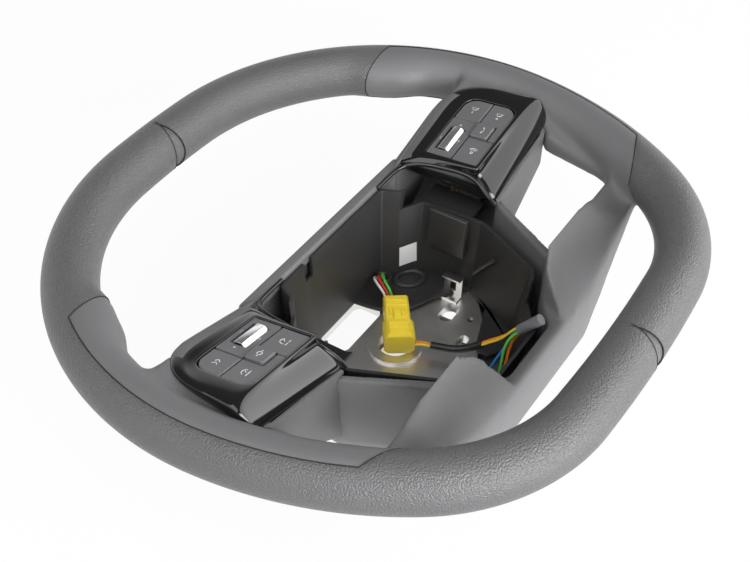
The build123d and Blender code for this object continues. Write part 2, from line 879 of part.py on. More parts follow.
def right_spoke_back():
    """Back of the right spoke: a tray between the rear cover and the rim."""
    body = split(tray(bezel_plan, 0.0), bisect_by=base_plane, keep=Keep.BOTTOM)
    return body - right_hollow - bucket - well - spoke_room - rim_room


def arm_notch():
    """Room above the lower wall, between the two arms."""
    points = [
        (-notch_half_top, arm_ridge_y + notch_margin),
        (notch_half_top, arm_ridge_y + notch_margin),
        (notch_half_top, arm_ridge_y - notch_margin),
        (notch_half_low, arm_wall_y - notch_margin),
        (-notch_half_low, arm_wall_y - notch_margin),
        (-notch_half_top, arm_ridge_y - notch_margin),
    ]
    return pillar(make_face(Polyline(*points, close=True)), notch_height, well_ceiling)


def arm_slope_room():
    """Room on the driver's side of the broad slope of the lower arms."""
    section = make_face(
        Polyline(
            (arm_ridge_y, arm_ridge_z),
            (arm_outer_y, arm_outer_z),
            (arm_wall_y, arm_outer_z),
            (arm_wall_y, well_ceiling),
            (arm_ridge_y, well_ceiling),
            close=True,
        )
    )
    return extrude(Pos(-arm_reach, 0, 0) * (Plane.YZ * section), 2 * arm_reach, dir=(1, 0, 0))


def right_lower_arm():
    """Right lower arm: a ridge-shaped bar from the rear cover, twisting until it lies in the rim."""
    hub_end = Polyline(
        (arm_ridge_y, arm_ridge_z),
        (arm_outer_y, arm_outer_z),
        (arm_wall_y, shell_mid_height),
        (arm_back_y, arm_back_z),
        (arm_ridge_y, arm_back_z),
        close=True,
    )
    rim_end = Polyline(
        (arm_rim_ridge_y, arm_rim_ridge_z),
        (arm_rim_outer_y, arm_rim_outer_z),
        (arm_rim_outer_y, arm_rim_low_z),
        (arm_rim_back_y, arm_rim_back_z),
        (arm_rim_ridge_y, arm_rim_back_z),
        close=True,
    )
    root = Plane.YZ * make_face(hub_end)
    tip = Pos(arm_reach, 0, 0) * (Plane.YZ * make_face(rim_end))
    bar = extrude(root, arm_root_x, dir=(1, 0, 0)) + loft([Pos(arm_root_x, 0, 0) * root, tip], ruled=True)
    return bar - arm_notch() - bucket - well - rim_room


def shell_screw_posts(radius, low, high):
    """Row of upright cylinders at the rear cover's screws."""
    return [Pos(*place) * pillar(Circle(radius), low, high) for place in shell_screw_places]


def collar():
    """Ring behind the rear cover, open on one stretch for the column's cable."""
    tall = shell_back_height + shell_wall
    body = pillar(Circle(collar_radius), 0.0, tall)
    reach = 2 * collar_radius
    start = math.radians(collar_gap_start)
    stop = start + math.radians(collar_gap_turn)
    corners = [(0, 0)] + [(reach * math.cos(turn), reach * math.sin(turn)) for turn in (start, stop)]
    return body - pillar(make_face(Polyline(*corners, close=True)), 0.0, shell_back_height)


def hub_shell():
    """Rear cover: the well's walls, open towards both spokes, and the collar."""
    body = bucket - well - right_hollow - other_side(right_hollow) - arm_notch() - arm_slope_room()
    floor = shell_back_height + shell_wall
    body += collar()
    body -= pillar(Circle(collar_radius - collar_wall), 0.0, plate_back)
    cable_opening = block(
        (cable_opening_left, cable_opening_right),
        (cable_opening_low, well_floor_half[0][1]),
        (shell_back_height, floor),
    )
    body -= cable_opening
    release_hole = block(
        (release_hole_inner, release_hole_outer),
        (release_hole_low, release_hole_high),
        (shell_back_height, floor),
    )
    body = body - release_hole - other_side(release_hole)
    for post in shell_screw_posts(post_radius, floor, plate_back):
        body += post
    for hole in shell_screw_posts(shell_screw_radius + screw_hole_gap, 0.0, plate_back):
        body -= hole
    for room in both_spoke_rooms:
        body -= room
    return body


def hub_liner():
    """Black walls of the well, standing on the casting, with a floor at the top end."""
    outer = [(plate_top, whole(liner_low_half)), (liner_top, whole(liner_top_half))]
    inner = [(height, inset(points, liner_wall)) for height, points in outer]
    outside = layered(outer, liner_wall)
    inside = layered(inner, liner_wall)
    body = outside - inside
    low_room = block((-arm_reach, arm_reach), (arm_wall_y, liner_low_cut_y), (liner_low_cut, liner_top))
    side_room = block((-arm_reach, arm_reach), (arm_wall_y, liner_step_y), (liner_side_top, liner_top))
    body = body - low_room - side_room
    shelf_top = plate_top + floor_thickness
    shelf = block((-arm_reach, arm_reach), (floor_edge_y, bar_high_y), (plate_top, shelf_top))
    gap = Pos(0, (window_low + window_high) / 2) * RectangleRounded(
        2 * window_half, window_high - window_low + 2 * window_round, window_round
    )
    shelf -= pillar(gap, plate_top, shelf_top)
    shelf -= pillar(Circle(boss_radius + assembly_gap), plate_top, shelf_top)
    wire_slot = Pos(wire_slot_x, wire_slot_y) * SlotOverall(wire_slot_length, wire_slot_width)
    shelf -= pillar(wire_slot, plate_top, shelf_top)
    body += shelf & outside
    notch = block(
        (clip_notch_x - clip_notch_width / 2, clip_notch_x + clip_notch_width / 2),
        (floor_edge_y, bar_high_y),
        (liner_top - clip_notch_depth, liner_top),
    )
    for room in both_spoke_rooms:
        body -= room
    return body - notch


def blank_label():
    """Plain sticker on the right short wall of the liner, following its slope."""
    levels = [(plate_top, whole(liner_low_half)), (liner_top, whole(liner_top_half))]
    back = liner_wall + layer_gap
    near = layered([(height, inset(points, back)) for height, points in levels], liner_wall)
    front = [(height, inset(points, back + label_thickness)) for height, points in levels]
    layer = near - layered(front, liner_wall)
    start = Vector(*liner_low_half[1])
    stop = Vector(*liner_low_half[2])
    middle = (start + stop) / 2
    frame = Plane(origin=(middle.X, middle.Y, label_floor), x_dir=stop - start, z_dir=(0, 0, 1))
    patch = Box(label_width, 2 * label_depth, label_height, align=(Align.CENTER, Align.CENTER, Align.MIN))
    return layer & (frame * patch)


def top_bar():
    """Trim bar between the two surrounds, with eased upper edges."""
    body = block((-bar_half_length, bar_half_length), (bar_low_y, bar_high_y), (bar_floor, bar_top))
    upper = body.edges().filter_by(Axis.X).sort_by(Axis.Z)[-2:]
    return fillet(upper, bar_round)


# Casting
def armature():
    """One casting: both arms, hub plate and boss, cast round the rim ring."""
    points = whole(plate_half)
    body = pillar(rounded_outline(points, [plate_corner_radius] * len(points)), plate_back, plate_top)
    body += pillar(Circle(boss_radius), 0.0, boss_top)
    gap = Pos(0, (window_low + window_high) / 2) * RectangleRounded(
        2 * window_half, window_high - window_low, window_round
    )
    body -= pillar(gap, plate_back, plate_top)
    for side in (1, -1):
        oval = Pos(side * oval_x, oval_y) * SlotOverall(oval_length, oval_width)
        slot = Pos(side * slot_x, slot_y) * SlotOverall(slot_length, slot_width)
        body -= pillar(oval, plate_back, plate_top)
        body -= pillar(slot, plate_back, plate_top)
    bar = spoke_bar(0.0)
    body = body + bar + other_side(bar)
    body -= pillar(Circle(bore_radius), 0.0, boss_top)
    body -= pillar(Circle(counterbore_radius), bore_length, boss_top)
    for hole in shell_screw_posts(shell_screw_radius + screw_hole_gap, plate_back, plate_top):
        body -= hole
    return body - ring(ring_radius + layer_gap)


def right_airbag_catch():
    """Bent spring catch: a foot on the hub plate, an upright with a slot and a lip."""
    foot_x = (catch_x - catch_foot / 2, catch_x + catch_foot / 2)
    width = (catch_y - catch_width / 2, catch_y + catch_width / 2)
    body = block(foot_x, width, (plate_top, plate_top + catch_thickness))
    upright_x = (catch_x, catch_x + catch_thickness)
    top = plate_top + catch_height
    body += block(upright_x, width, (plate_top, top))
    slot_y_range = (catch_y - catch_slot_width / 2, catch_y + catch_slot_width / 2)
    slot_low = plate_top + catch_slot_base
    body -= block(upright_x, slot_y_range, (slot_low, slot_low + catch_slot_height))
    body += block((catch_x - catch_lip, catch_x + catch_thickness), width, (top - catch_thickness, top))
    return body


def shell_screws():
    """Screws from behind, through the rear cover's posts into the hub plate."""
    head_low = shell_back_height - shell_screw_head
    shanks = shell_screw_posts(shell_screw_radius, shell_back_height, shell_screw_top)
    heads = shell_screw_posts(shell_screw_head_radius, head_low, shell_back_height)
    return [shank + head for shank, head in zip(shanks, heads)]


# Loose connector and wires
plug_turn = math.radians(plug_angle)
plug_along = Vector(math.cos(plug_turn), math.sin(plug_turn))
connector_frame = Plane(origin=(*plug_start, boss_top), x_dir=plug_along, z_dir=(0, 0, 1))


def eased_box(start, length, width, height, ease):
    """Box along the connector with its long edges eased."""
    body = block((start, start + length), (-width / 2, width / 2), (0.0, height))
    return chamfer(body.edges().filter_by(Axis.X), ease)


def yellow_socket():
    """Larger half of the connector."""
    body = eased_box(0.0, socket_length, socket_width, socket_height, 2 * plug_round)
    return connector_frame * body


def yellow_plug():
    """Smaller half of the connector, with its latch on top."""
    body = eased_box(socket_length, plug_length, plug_width, plug_height, plug_round)
    latch = block(
        (socket_length, socket_length + latch_length),
        (-latch_width / 2, latch_width / 2),
        (plug_height, plug_height + latch_height),
    )
    return connector_frame * (body + latch)


def bend_radii(points):
    """Largest arcs that the runs beside each bend of a route leave room for."""
    radii = []
    for before, corner, after in zip(points, points[1:], points[2:]):
        run_in = Vector(*corner) - Vector(*before)
        run_out = Vector(*after) - Vector(*corner)
        half_turn = math.radians(run_in.get_angle(run_out)) / 2
        radii.append(bend_share * min(run_in.length, run_out.length) / math.tan(half_turn))
    return radii


def tube(name, points, radius, bore=0.0):
    """Round wire or sleeve along a route of straight runs and tangent arcs."""
    radii = bend_radii(points)
    path = FilletPolyline(*points, radius=radii)
    section = Circle(radius)
    if bore > 0.0:
        section -= Circle(bore)
    wire = sweep(Plane(origin=path @ 0, z_dir=path % 0) * section, path=path)
    ideal = math.pi * (radius ** 2 - bore ** 2) * path.length
    print(name, "length", round(path.length, 1), "volume share", round(wire.volume / ideal, 4))
    print(name, "radii", [round(bend, 1) for bend in radii])
    return wire


def loom_tape():
    """Wound tape at the end of the loom."""
    frame = Plane(origin=tape_start, z_dir=tape_direction)
    return frame * pillar(Circle(tape_radius), 0.0, tape_length)


nodes = {
    "armature": armature(),
    "rim_ring": ring(ring_radius),
    "rim_foam": rim_foam(),
    "hub_shell": hub_shell(),
    "hub_liner": hub_liner(),
    "top_bar": top_bar(),
    "shell_screws": Compound(children=shell_screws()),
    "yellow_socket": yellow_socket(),
    "yellow_plug": yellow_plug(),
    "loom_tape": loom_tape(),
    "blank_label": blank_label(),
}
route_bores = {"black_sleeve": sleeve_bore}
for name, route in wire_routes.items():
    nodes[name] = tube(name, route, route_radii.get(name, wire_radius), route_bores.get(name, 0.0))
right_pieces = {
    "top_rim_cover": top_leather,
    "side_rim_cover": side_leather,
    "low_rim_cover": low_leather,
    "spoke_cover": right_spoke_cover(),
    "spoke_back": right_spoke_back(),
    "lower_arm": right_lower_arm(),
    "bezel": right_bezel(),
    "roller_panel": roller_panel(),
    "roller": roller(),
    "roller_carrier": roller_carrier(),
    "switch_case": switch_case(),
    "switch_board": switch_board(),
    "airbag_catch": right_airbag_catch(),
}
for name in key_shapes:
    right_pieces[name] = key(name)
for name, piece in right_pieces.items():
    nodes["right_" + name] = piece
    nodes["left_" + name] = other_side(piece)
right_screws = board_screws()
nodes["right_board_screws"] = Compound(children=right_screws)
nodes["left_board_screws"] = Compound(children=[other_side(screw) for screw in right_screws])

for name, piece in nodes.items():
    save(name, piece)
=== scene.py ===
"""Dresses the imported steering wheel: leather, soft panels, switch pads, hub and loose wiring."""

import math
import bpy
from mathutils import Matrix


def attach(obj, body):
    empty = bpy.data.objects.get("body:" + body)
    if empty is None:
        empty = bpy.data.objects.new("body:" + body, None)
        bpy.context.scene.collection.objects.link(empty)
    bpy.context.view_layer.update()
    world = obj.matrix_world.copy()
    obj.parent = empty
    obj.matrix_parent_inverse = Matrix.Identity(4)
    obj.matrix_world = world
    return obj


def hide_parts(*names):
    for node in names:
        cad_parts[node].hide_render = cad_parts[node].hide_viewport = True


bl_info = {
    "name": "Steering wheel",
    "version": (1, 0, 0),
    "blender": (4, 5, 0),
    "location": "View3D > Sidebar > Wheel",
    "description": "Models the skins, switch pads, hub and wiring of a car steering wheel over its CAD frame",
    "category": "Object",
}

import bpy
from mathutils import Matrix, Vector

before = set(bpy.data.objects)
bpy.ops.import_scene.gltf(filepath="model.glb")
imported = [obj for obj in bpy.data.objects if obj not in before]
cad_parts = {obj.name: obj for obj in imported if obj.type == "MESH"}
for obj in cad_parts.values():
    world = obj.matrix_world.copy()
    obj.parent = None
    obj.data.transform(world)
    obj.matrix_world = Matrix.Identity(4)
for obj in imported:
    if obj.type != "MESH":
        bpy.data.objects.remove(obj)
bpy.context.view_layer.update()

MM = 0.001
SIDES = ("right_", "left_")


# Settings that a user can change
def number_setting(name, description, default, **kinds):
    """Number, with its unit or subtype where one fits."""
    return bpy.props.FloatProperty(name=name, description=description, default=default, **kinds)


def length_setting(name, description, default):
    """Length in metres."""
    return number_setting(name, description, default, unit="LENGTH")


def vector_setting(name, description, default, **kinds):
    """Several numbers that belong together."""
    return bpy.props.FloatVectorProperty(name=name, description=description, default=default, **kinds)


def place_setting(name, description, default):
    """Place in metres."""
    return vector_setting(name, description, default, subtype="TRANSLATION", unit="LENGTH")


def colour_setting(name, description, default):
    """Colour of a finish."""
    return vector_setting(name, description, default, subtype="COLOR")


class StageSizes(bpy.types.PropertyGroup):
    """Camera, floor and lamps."""

    camera_place: place_setting("Camera place", "Where the camera stands", (-0.46828, -0.26562, 0.56518))
    camera_turn: vector_setting(
        "Camera turn", "Turn of the camera about x, y and z",
        (math.radians(47.695), math.radians(-1.540), math.radians(-57.671)), subtype="EULER",
    )
    lens: number_setting("Lens", "Focal length in millimetres on a 36 mm sensor", 62.78)
    floor_side: length_setting("Floor side", "Side of the floor", 8.0)
    lamp_height: length_setting("Lamp height", "Height of the overhead lamp", 1.3)
    lamp_power: number_setting("Lamp power", "Power that each lamp has its share of", 23.0, unit="POWER")
    room_light: number_setting("Room light", "Strength of the light from above", 0.13)
    horizon_light: number_setting("Horizon light", "Strength of the light from the horizon", 1.6)


class RimSizes(bpy.types.PropertyGroup):
    """Arcs and section of the rim."""

    plane: length_setting("Plane", "Height of the rim's centre line", 0.100)
    half_width: length_setting("Half width", "Centre line to the axis at the sides", 0.1694)
    top: length_setting("Top", "Centre line above the axis", 0.1658)
    bottom: length_setting("Bottom", "Centre line below the axis", 0.1376)
    side_centre: length_setting("Side centre", "Height of the widest place", 0.025)
    top_radius: length_setting("Top radius", "Arc at twelve o'clock", 0.600)
    shoulder_radius: length_setting("Shoulder radius", "Arc of the upper corners", 0.146)
    side_radius: length_setting("Side radius", "Arc of the sides", 0.205)
    corner_radius: length_setting("Corner radius", "Arc of the lower corners", 0.102)
    bottom_radius: length_setting("Bottom radius", "Arc at six o'clock", 0.900)
    grip_radius: length_setting("Grip radius", "Radius of the section", 0.0158)
    crest_offset: length_setting("Crest offset", "Seam of the soft panel outside the centre line", 0.004)
    seam_top: length_setting("Upper seam", "Height of the soft panel's upper end", 0.100)
    seam_low: length_setting("Lower seam", "Height of the soft panel's lower end at the crest", -0.072)
    seam_low_inner: vector_setting(
        "Lower seam, inner end", "Where the lower seam leaves the rim", (0.112, -0.084), size=2,
        unit="LENGTH",
    )
    thumb_angle: number_setting(
        "Thumb rest", "Clock angle of the thumb rest on the shoulder arc", math.radians(57.0),
        subtype="ANGLE",
    )
    thumb_rise: length_setting("Thumb rise", "How far the thumb rest swells inwards", 0.0052)
    leather_wall: length_setting("Leather", "Thickness of the leather", 0.0013)
    panel_sink: length_setting("Panel sink", "How far the soft panel lies below the leather", 0.0002)
    # The dark line along the seams is painted shade; the leather's cut edges also turn in by a share of this
    # width
    seam_width: length_setting("Seam", "Width of the dark line along the seams", 0.0007)


class PadSizes(bpy.types.PropertyGroup):
    """Switch pads and their gloss surrounds."""

    place: place_setting("Place", "Middle of the right pad's face", (0.111, 0.0172, 0.1051))
    slope_out: number_setting("Outward slope", "Rise towards the rim", 0.178)
    slope_up: number_setting("Upward slope", "Rise towards twelve o'clock", -0.13)
    hub_edge: length_setting("Hub edge", "Edge of the keys next to the hub", -0.026)
    outer_edge: length_setting("Outer edge", "Edge of the keys next to the rim", 0.027)
    half_height: length_setting("Half height", "Middle to the keys' upper and lower edges", 0.0175)
    outer_round: length_setting("Outer rounding", "Corner radius next to the rim", 0.009)
    hub_round: length_setting("Hub rounding", "Corner radius next to the hub", 0.0012)
    roller_place: place_setting(
        "Roller", "Middle of the roller in the pad's own axes", (-0.0106, 0.0094, -0.0036),
    )
    roller_radius: length_setting("Roller radius", "Axis to the roller's ridges", 0.0054)
    roller_length: length_setting("Roller length", "Length of the roller's drum", 0.020)
    mark_width: length_setting("Mark width", "Width of the lines printed on the keys", 0.00050)


class Finishes(bpy.types.PropertyGroup):
    """Colours of the wheel's materials."""

    leather: colour_setting("Leather", "Grained leather of the rim", (0.088, 0.088, 0.090))
    soft: colour_setting("Soft panel", "Soft skin of the spokes and arms", (0.128, 0.128, 0.131))
    liner: colour_setting("Liner", "Black plastic of the well", (0.027, 0.026, 0.026))
    gloss: colour_setting("Gloss black", "Surrounds of the switch pads", (0.006, 0.006, 0.006))
    key: colour_setting("Keys", "Satin keys", (0.130, 0.130, 0.133))
    casting: colour_setting("Casting", "Bare metal of the hub", (0.88, 0.86, 0.83))
    yellow: colour_setting("Connector", "Yellow plastic", (0.95, 0.72, 0.05))


# Modelling steps that several pieces share
def leave():
    """Leaves edit mode."""
    bpy.ops.object.mode_set(mode="OBJECT")


def deselect():
    """Leaves edit mode with nothing selected."""
    if bpy.context.object is not None and bpy.context.object.mode != "OBJECT":
        leave()
    bpy.ops.object.select_all(action="DESELECT")


def choose(thing):
    """Makes one object the selected and active one."""
    deselect()
    thing.hide_set(False)
    thing.select_set(True)
    bpy.context.view_layer.objects.active = thing
    return thing


def edit(thing):
    """Enters edit mode on an object with all of it selected."""
    choose(thing)
    bpy.ops.object.mode_set(mode="EDIT")
    bpy.ops.mesh.select_all(action="SELECT")
    return thing


def pick(thing, kind, test):
    """Selects the faces or vertices that pass a test, and leaves the object in edit mode on them."""
    choose(thing)
    bpy.ops.object.mode_set(mode="EDIT")
    bpy.ops.mesh.select_mode(type=kind)
    bpy.ops.mesh.select_all(action="DESELECT")
    leave()
    for item in thing.data.polygons if kind == "FACE" else thing.data.vertices:
        item.select = test(item)
    bpy.ops.object.mode_set(mode="EDIT")


def swell(thing, spot, seed, shift, reach):
    """Moves the surface round a spot: fully within the seed, and fading out over the reach."""
    pick(thing, "VERT", lambda point: (point.co - spot).length < seed)
    bpy.ops.transform.translate(
        value=shift, use_proportional_edit=True, proportional_edit_falloff="SMOOTH", proportional_size=reach,
    )
    leave()


def named(thing, name):
    """Gives an object and its data the same name."""
    thing.name = name
    thing.data.name = name
    return thing


def settle(thing):
    """Applies an object's place, so that it sits unturned at the origin."""
    choose(thing)
    bpy.ops.object.transform_apply(location=True, rotation=True, scale=True)
    return thing


def bake(thing, kind, **values):
    """Adds a modifier with its values and applies it."""
    choose(thing)
    bpy.ops.object.modifier_add(type=kind)
    modifier = thing.modifiers[-1]
    for name, value in values.items():
        setattr(modifier, name, value)
    bpy.ops.object.modifier_apply(modifier=modifier.name)
    return thing


# Edges that meet at more than these angles, in degrees, are eased, or stay sharp in the shading
NODE_EASE_ANGLE = 30.0
SLAB_EASE_ANGLE = 50.0
SHARP_ANGLE = 35.0
EASED_SHARP_ANGLE = 40.0
BEAD_SHARP_ANGLE = 60.0
# Faces of a CAD mesh that meet at less than this are one flat face, points nearer than this are one
FLAT_ANGLE = 0.6
NODE_MERGE_GAP = 0.00001


def ease(thing, width, segments, degrees):
    """Rounds the edges that meet at more than an angle."""
    return bake(thing, "BEVEL", width=width, segments=segments, limit_method="ANGLE",
                angle_limit=math.radians(degrees))


def smooth_shade(thing, degrees=SHARP_ANGLE):
    """Smooth shading with edges kept sharp above an angle."""
    choose(thing)
    bpy.ops.object.shade_smooth_by_angle(angle=math.radians(degrees))
    return thing


def node_copy(node, name):
    """New object with a merged copy of a CAD node's mesh."""
    thing = bpy.data.objects.new(name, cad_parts[node].data.copy())
    bpy.context.collection.objects.link(thing)
    thing.data.materials.clear()
    edit(thing)
    bpy.ops.mesh.remove_doubles(threshold=NODE_MERGE_GAP)
    leave()
    return thing


def join(name, things):
    """Joins objects into the first one and renames it."""
    deselect()
    for thing in things:
        thing.select_set(True)
    bpy.context.view_layer.objects.active = things[0]
    bpy.ops.object.join()
    return named(things[0], name)


def mirrored(thing, name):
    """Copy of a piece on the other side of the wheel, with its own mesh."""
    choose(thing)
    bpy.ops.object.duplicate()
    twin = named(bpy.context.object, name)
    twin.scale.x = -1
    settle(twin)
    edit(twin)
    bpy.ops.mesh.flip_normals()
    leave()
    return twin


def dress(thing, material):
    """Gives a piece its one material."""
    thing.data.materials.clear()
    thing.data.materials.append(material)
    return thing


def seat(thing, body, slot, *nodes):
    """Seats a finished piece on its body, in place of CAD nodes."""
    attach(thing, body)
    if nodes:
        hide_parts(*nodes)
    return thing


def seat_both(thing, left_name, slot, node=None, body=None):
    """Seats a right-hand piece and its mirror image, each on its side's body and in place of its node."""
    for side, piece in zip(SIDES, (thing, mirrored(thing, left_name))):
        nodes = [side + node] if node else []
        seat(piece, side + body if body else "wheel", slot, *nodes)


def rounded_copy(node, name, width, segments=2):
    """Copy of a CAD node's shape with its edges eased."""
    thing = node_copy(node, name)
    edit(thing)
    bpy.ops.mesh.dissolve_limited(angle_limit=math.radians(FLAT_ANGLE))
    leave()
    ease(thing, width, segments, NODE_EASE_ANGLE)
    edit(thing)
    bpy.ops.mesh.quads_convert_to_tris()
    leave()
    return smooth_shade(thing, EASED_SHARP_ANGLE)


def slab(name, outline, low, high, width):
    """Flat moulding between two heights, its outline given in millimetres, with eased edges."""
    deselect()
    bpy.ops.mesh.primitive_circle_add(vertices=len(outline), fill_type="NGON")
    thing = named(bpy.context.object, name)
    for point, (x, y) in zip(thing.data.vertices, outline):
        point.co = (x * MM, y * MM, low)
    edit(thing)
    bpy.ops.mesh.extrude_region_move(TRANSFORM_OT_translate={"value": (0.0, 0.0, high - low)})
    bpy.ops.mesh.select_all(action="SELECT")
    bpy.ops.mesh.normals_make_consistent(inside=False)
    leave()
    ease(thing, width, segments=3, degrees=SLAB_EASE_ANGLE)
    return smooth_shade(thing, EASED_SHARP_ANGLE)


def in_metres(places):
    """Places given in millimetres as vectors in metres."""
    return [Vector(place) * MM for place in places]


def bead(name, lines, radius, kind="NURBS", order=4, steps=8, roundness=3):
    """Curve object with a round bead along each of its lines."""
    data = bpy.data.curves.new(name, "CURVE")
    data.dimensions = "3D"
    data.bevel_depth = radius
    data.bevel_resolution = roundness
    data.use_fill_caps = True
    for line in lines:
        spline = data.splines.new(kind)
        spline.points.add(len(line) - 1)
        for point, place in zip(spline.points, line):
            point.co = (*place, 1.0)
        spline.order_u = order
        spline.use_endpoint_u = True
        spline.resolution_u = steps
    thing = bpy.data.objects.new(name, data)
    bpy.context.collection.objects.link(thing)
    return thing


def meshed(thing):
    """Turns a curve into a mesh whose faces point outwards."""
    choose(thing)
    bpy.ops.object.convert(target="MESH")
    thing = named(bpy.context.object, bpy.context.object.name)
    edit(thing)
    bpy.ops.mesh.normals_make_consistent(inside=False)
    leave()
    return thing


def tube(name, lines, radius, order=4):
    """Round beads along smooth lines, made a mesh."""
    return smooth_shade(meshed(bead(name, lines, radius, order=order)), BEAD_SHARP_ANGLE)


# Materials
def add(tree, kind, **values):
    """New node with its values set by name."""
    node = tree.nodes.new(kind)
    for name, value in values.items():
        setattr(node, name, value)
    return node


def preset(node, **values):
    """Sets the plain values of a node's sockets, an underscore in a name standing for a space."""
    for socket, value in values.items():
        node.inputs[socket.replace("_", " ")].default_value = value
    return node


def new_group(name, inputs, outputs):
    """New shader node group with named sockets, its input node and its output node."""
    tree = bpy.data.node_groups.new(name, "ShaderNodeTree")
    for label, kind, value in inputs:
        socket = tree.interface.new_socket(name=label, in_out="INPUT", socket_type=kind)
        if value is not None:
            socket.default_value = value
    for label, kind in outputs:
        tree.interface.new_socket(name=label, in_out="OUTPUT", socket_type=kind)
    return tree, add(tree, "NodeGroupInput"), add(tree, "NodeGroupOutput")


def math_node(tree, kind, first, second):
    """Math node fed by sockets or plain values."""
    node = add(tree, "ShaderNodeMath", operation=kind)
    for index, value in enumerate((first, second)):
        if isinstance(value, (int, float)):
            node.inputs[index].default_value = value
        else:
            tree.links.new(value, node.inputs[index])
    return node.outputs[0]


def noise(tree, vector, scale, detail):
    """Noise over a vector, with a scale that comes from a socket."""
    node = preset(add(tree, "ShaderNodeTexNoise"), Detail=detail)
    tree.links.new(vector, node.inputs["Vector"])
    tree.links.new(scale, node.inputs["Scale"])
    return node


# Pebbles: softness of the cells, scales of their wobble and of the pores against theirs, height of the pores
CELL_SOFTNESS = 0.4
WOBBLE_SCALE = 0.5
PORE_SCALE = 2.5
PORE_HEIGHT = 0.35


def grain_group():
    """Height of a pebbled skin: rounded cells with wavy sides, and fine pores."""
    if "pebble_grain" in bpy.data.node_groups:
        return bpy.data.node_groups["pebble_grain"]
    tree, start, end = new_group(
        "pebble_grain",
        [("Vector", "NodeSocketVector", None), ("Scale", "NodeSocketFloat", 900.0)],
        [("Height", "NodeSocketFloat")],
    )
    vector = start.outputs["Vector"]
    scale = start.outputs["Scale"]
    wobble = noise(tree, vector, math_node(tree, "MULTIPLY", scale, WOBBLE_SCALE), 1.0)
    shift = add(tree, "ShaderNodeVectorMath", operation="SCALE")
    tree.links.new(wobble.outputs["Color"], shift.inputs[0])
    tree.links.new(math_node(tree, "DIVIDE", 0.5, scale), shift.inputs["Scale"])
    moved = add(tree, "ShaderNodeVectorMath", operation="ADD")
    tree.links.new(vector, moved.inputs[0])
    tree.links.new(shift.outputs[0], moved.inputs[1])
    cells = preset(add(tree, "ShaderNodeTexVoronoi", feature="SMOOTH_F1"), Smoothness=CELL_SOFTNESS)
    tree.links.new(moved.outputs[0], cells.inputs["Vector"])
    tree.links.new(scale, cells.inputs["Scale"])
    pores = noise(tree, vector, math_node(tree, "MULTIPLY", scale, PORE_SCALE), 3.0)
    domes = math_node(tree, "SUBTRACT", 1.0, cells.outputs["Distance"])
    fine = math_node(tree, "MULTIPLY", pores.outputs[0], PORE_HEIGHT)
    tree.links.new(math_node(tree, "ADD", domes, fine), end.inputs["Height"])
    return tree


def drift_group():
    """Slow drift of a colour and a roughness over a surface."""
    if "tone_drift" in bpy.data.node_groups:
        return bpy.data.node_groups["tone_drift"]
    tree, start, end = new_group(
        "tone_drift",
        [
            ("Vector", "NodeSocketVector", None),
            ("Color", "NodeSocketColor", (0.1, 0.1, 0.1, 1.0)),
            ("Roughness", "NodeSocketFloat", 0.5),
            ("Drift", "NodeSocketFloat", 0.15),
            ("Scale", "NodeSocketFloat", 40.0),
        ],
        [("Color", "NodeSocketColor"), ("Roughness", "NodeSocketFloat")],
    )
    cloud = noise(tree, start.outputs["Vector"], start.outputs["Scale"], 4.0)
    centred = math_node(tree, "SUBTRACT", cloud.outputs[0], 0.5)
    swing = math_node(tree, "MULTIPLY", centred, start.outputs["Drift"])
    gain = math_node(tree, "ADD", math_node(tree, "MULTIPLY", swing, 2.0), 1.0)
    shade = add(tree, "ShaderNodeVectorMath", operation="SCALE")
    tree.links.new(start.outputs["Color"], shade.inputs[0])
    tree.links.new(gain, shade.inputs["Scale"])
    tree.links.new(shade.outputs[0], end.inputs["Color"])
    tree.links.new(math_node(tree, "ADD", start.outputs["Roughness"], swing), end.inputs["Roughness"])
    return tree


RUB_STRETCH = (0.12, 1.0, 0.6)


def scratch_group():
    """Height of fine rub marks that run one way."""
    if "rub_marks" in bpy.data.node_groups:
        return bpy.data.node_groups["rub_marks"]
    tree, start, end = new_group(
        "rub_marks",
        [("Vector", "NodeSocketVector", None), ("Scale", "NodeSocketFloat", 300.0)],
        [("Height", "NodeSocketFloat")],
    )
    stretch = add(tree, "ShaderNodeVectorMath", operation="MULTIPLY")
    stretch.inputs[1].default_value = RUB_STRETCH
    tree.links.new(start.outputs["Vector"], stretch.inputs[0])
    lines = noise(tree, stretch.outputs[0], start.outputs["Scale"], 5.0)
    tree.links.new(lines.outputs[0], end.inputs["Height"])
    return tree


def finish_of(name, colour, roughness, drift, grain=None, rubbed=None, **fixed):
    """Material whose tone drifts (amount, scale), with pebbles or rub marks on it (scale, depth)."""
    if name in bpy.data.materials:
        return bpy.data.materials[name]
    material = bpy.data.materials.new(name)
    material.use_nodes = True
    tree = material.node_tree
    shader = preset(tree.nodes["Principled BSDF"], **fixed)
    place = add(tree, "ShaderNodeTexCoord").outputs["Object"]
    amount, scale = drift
    tone = add(tree, "ShaderNodeGroup", node_tree=drift_group())
    preset(tone, Color=(*colour, 1.0), Roughness=roughness, Drift=amount, Scale=scale)
    tree.links.new(place, tone.inputs["Vector"])
    tree.links.new(tone.outputs["Color"], shader.inputs["Base Color"])
    tree.links.new(tone.outputs["Roughness"], shader.inputs["Roughness"])
    normal = None
    for group, relief in ((grain_group, grain), (scratch_group, rubbed)):
        if relief is None:
            continue
        scale, depth = relief
        marks = preset(add(tree, "ShaderNodeGroup", node_tree=group()), Scale=scale)
        tree.links.new(place, marks.inputs["Vector"])
        bump = preset(add(tree, "ShaderNodeBump"), Distance=depth)
        tree.links.new(marks.outputs["Height"], bump.inputs["Height"])
        if normal is not None:
            tree.links.new(normal, bump.inputs["Normal"])
        normal = bump.outputs["Normal"]
    if normal is not None:
        tree.links.new(normal, shader.inputs["Normal"])
    return material


def chosen():
    """Colours that the user can change."""
    return bpy.context.scene.wheel_finishes


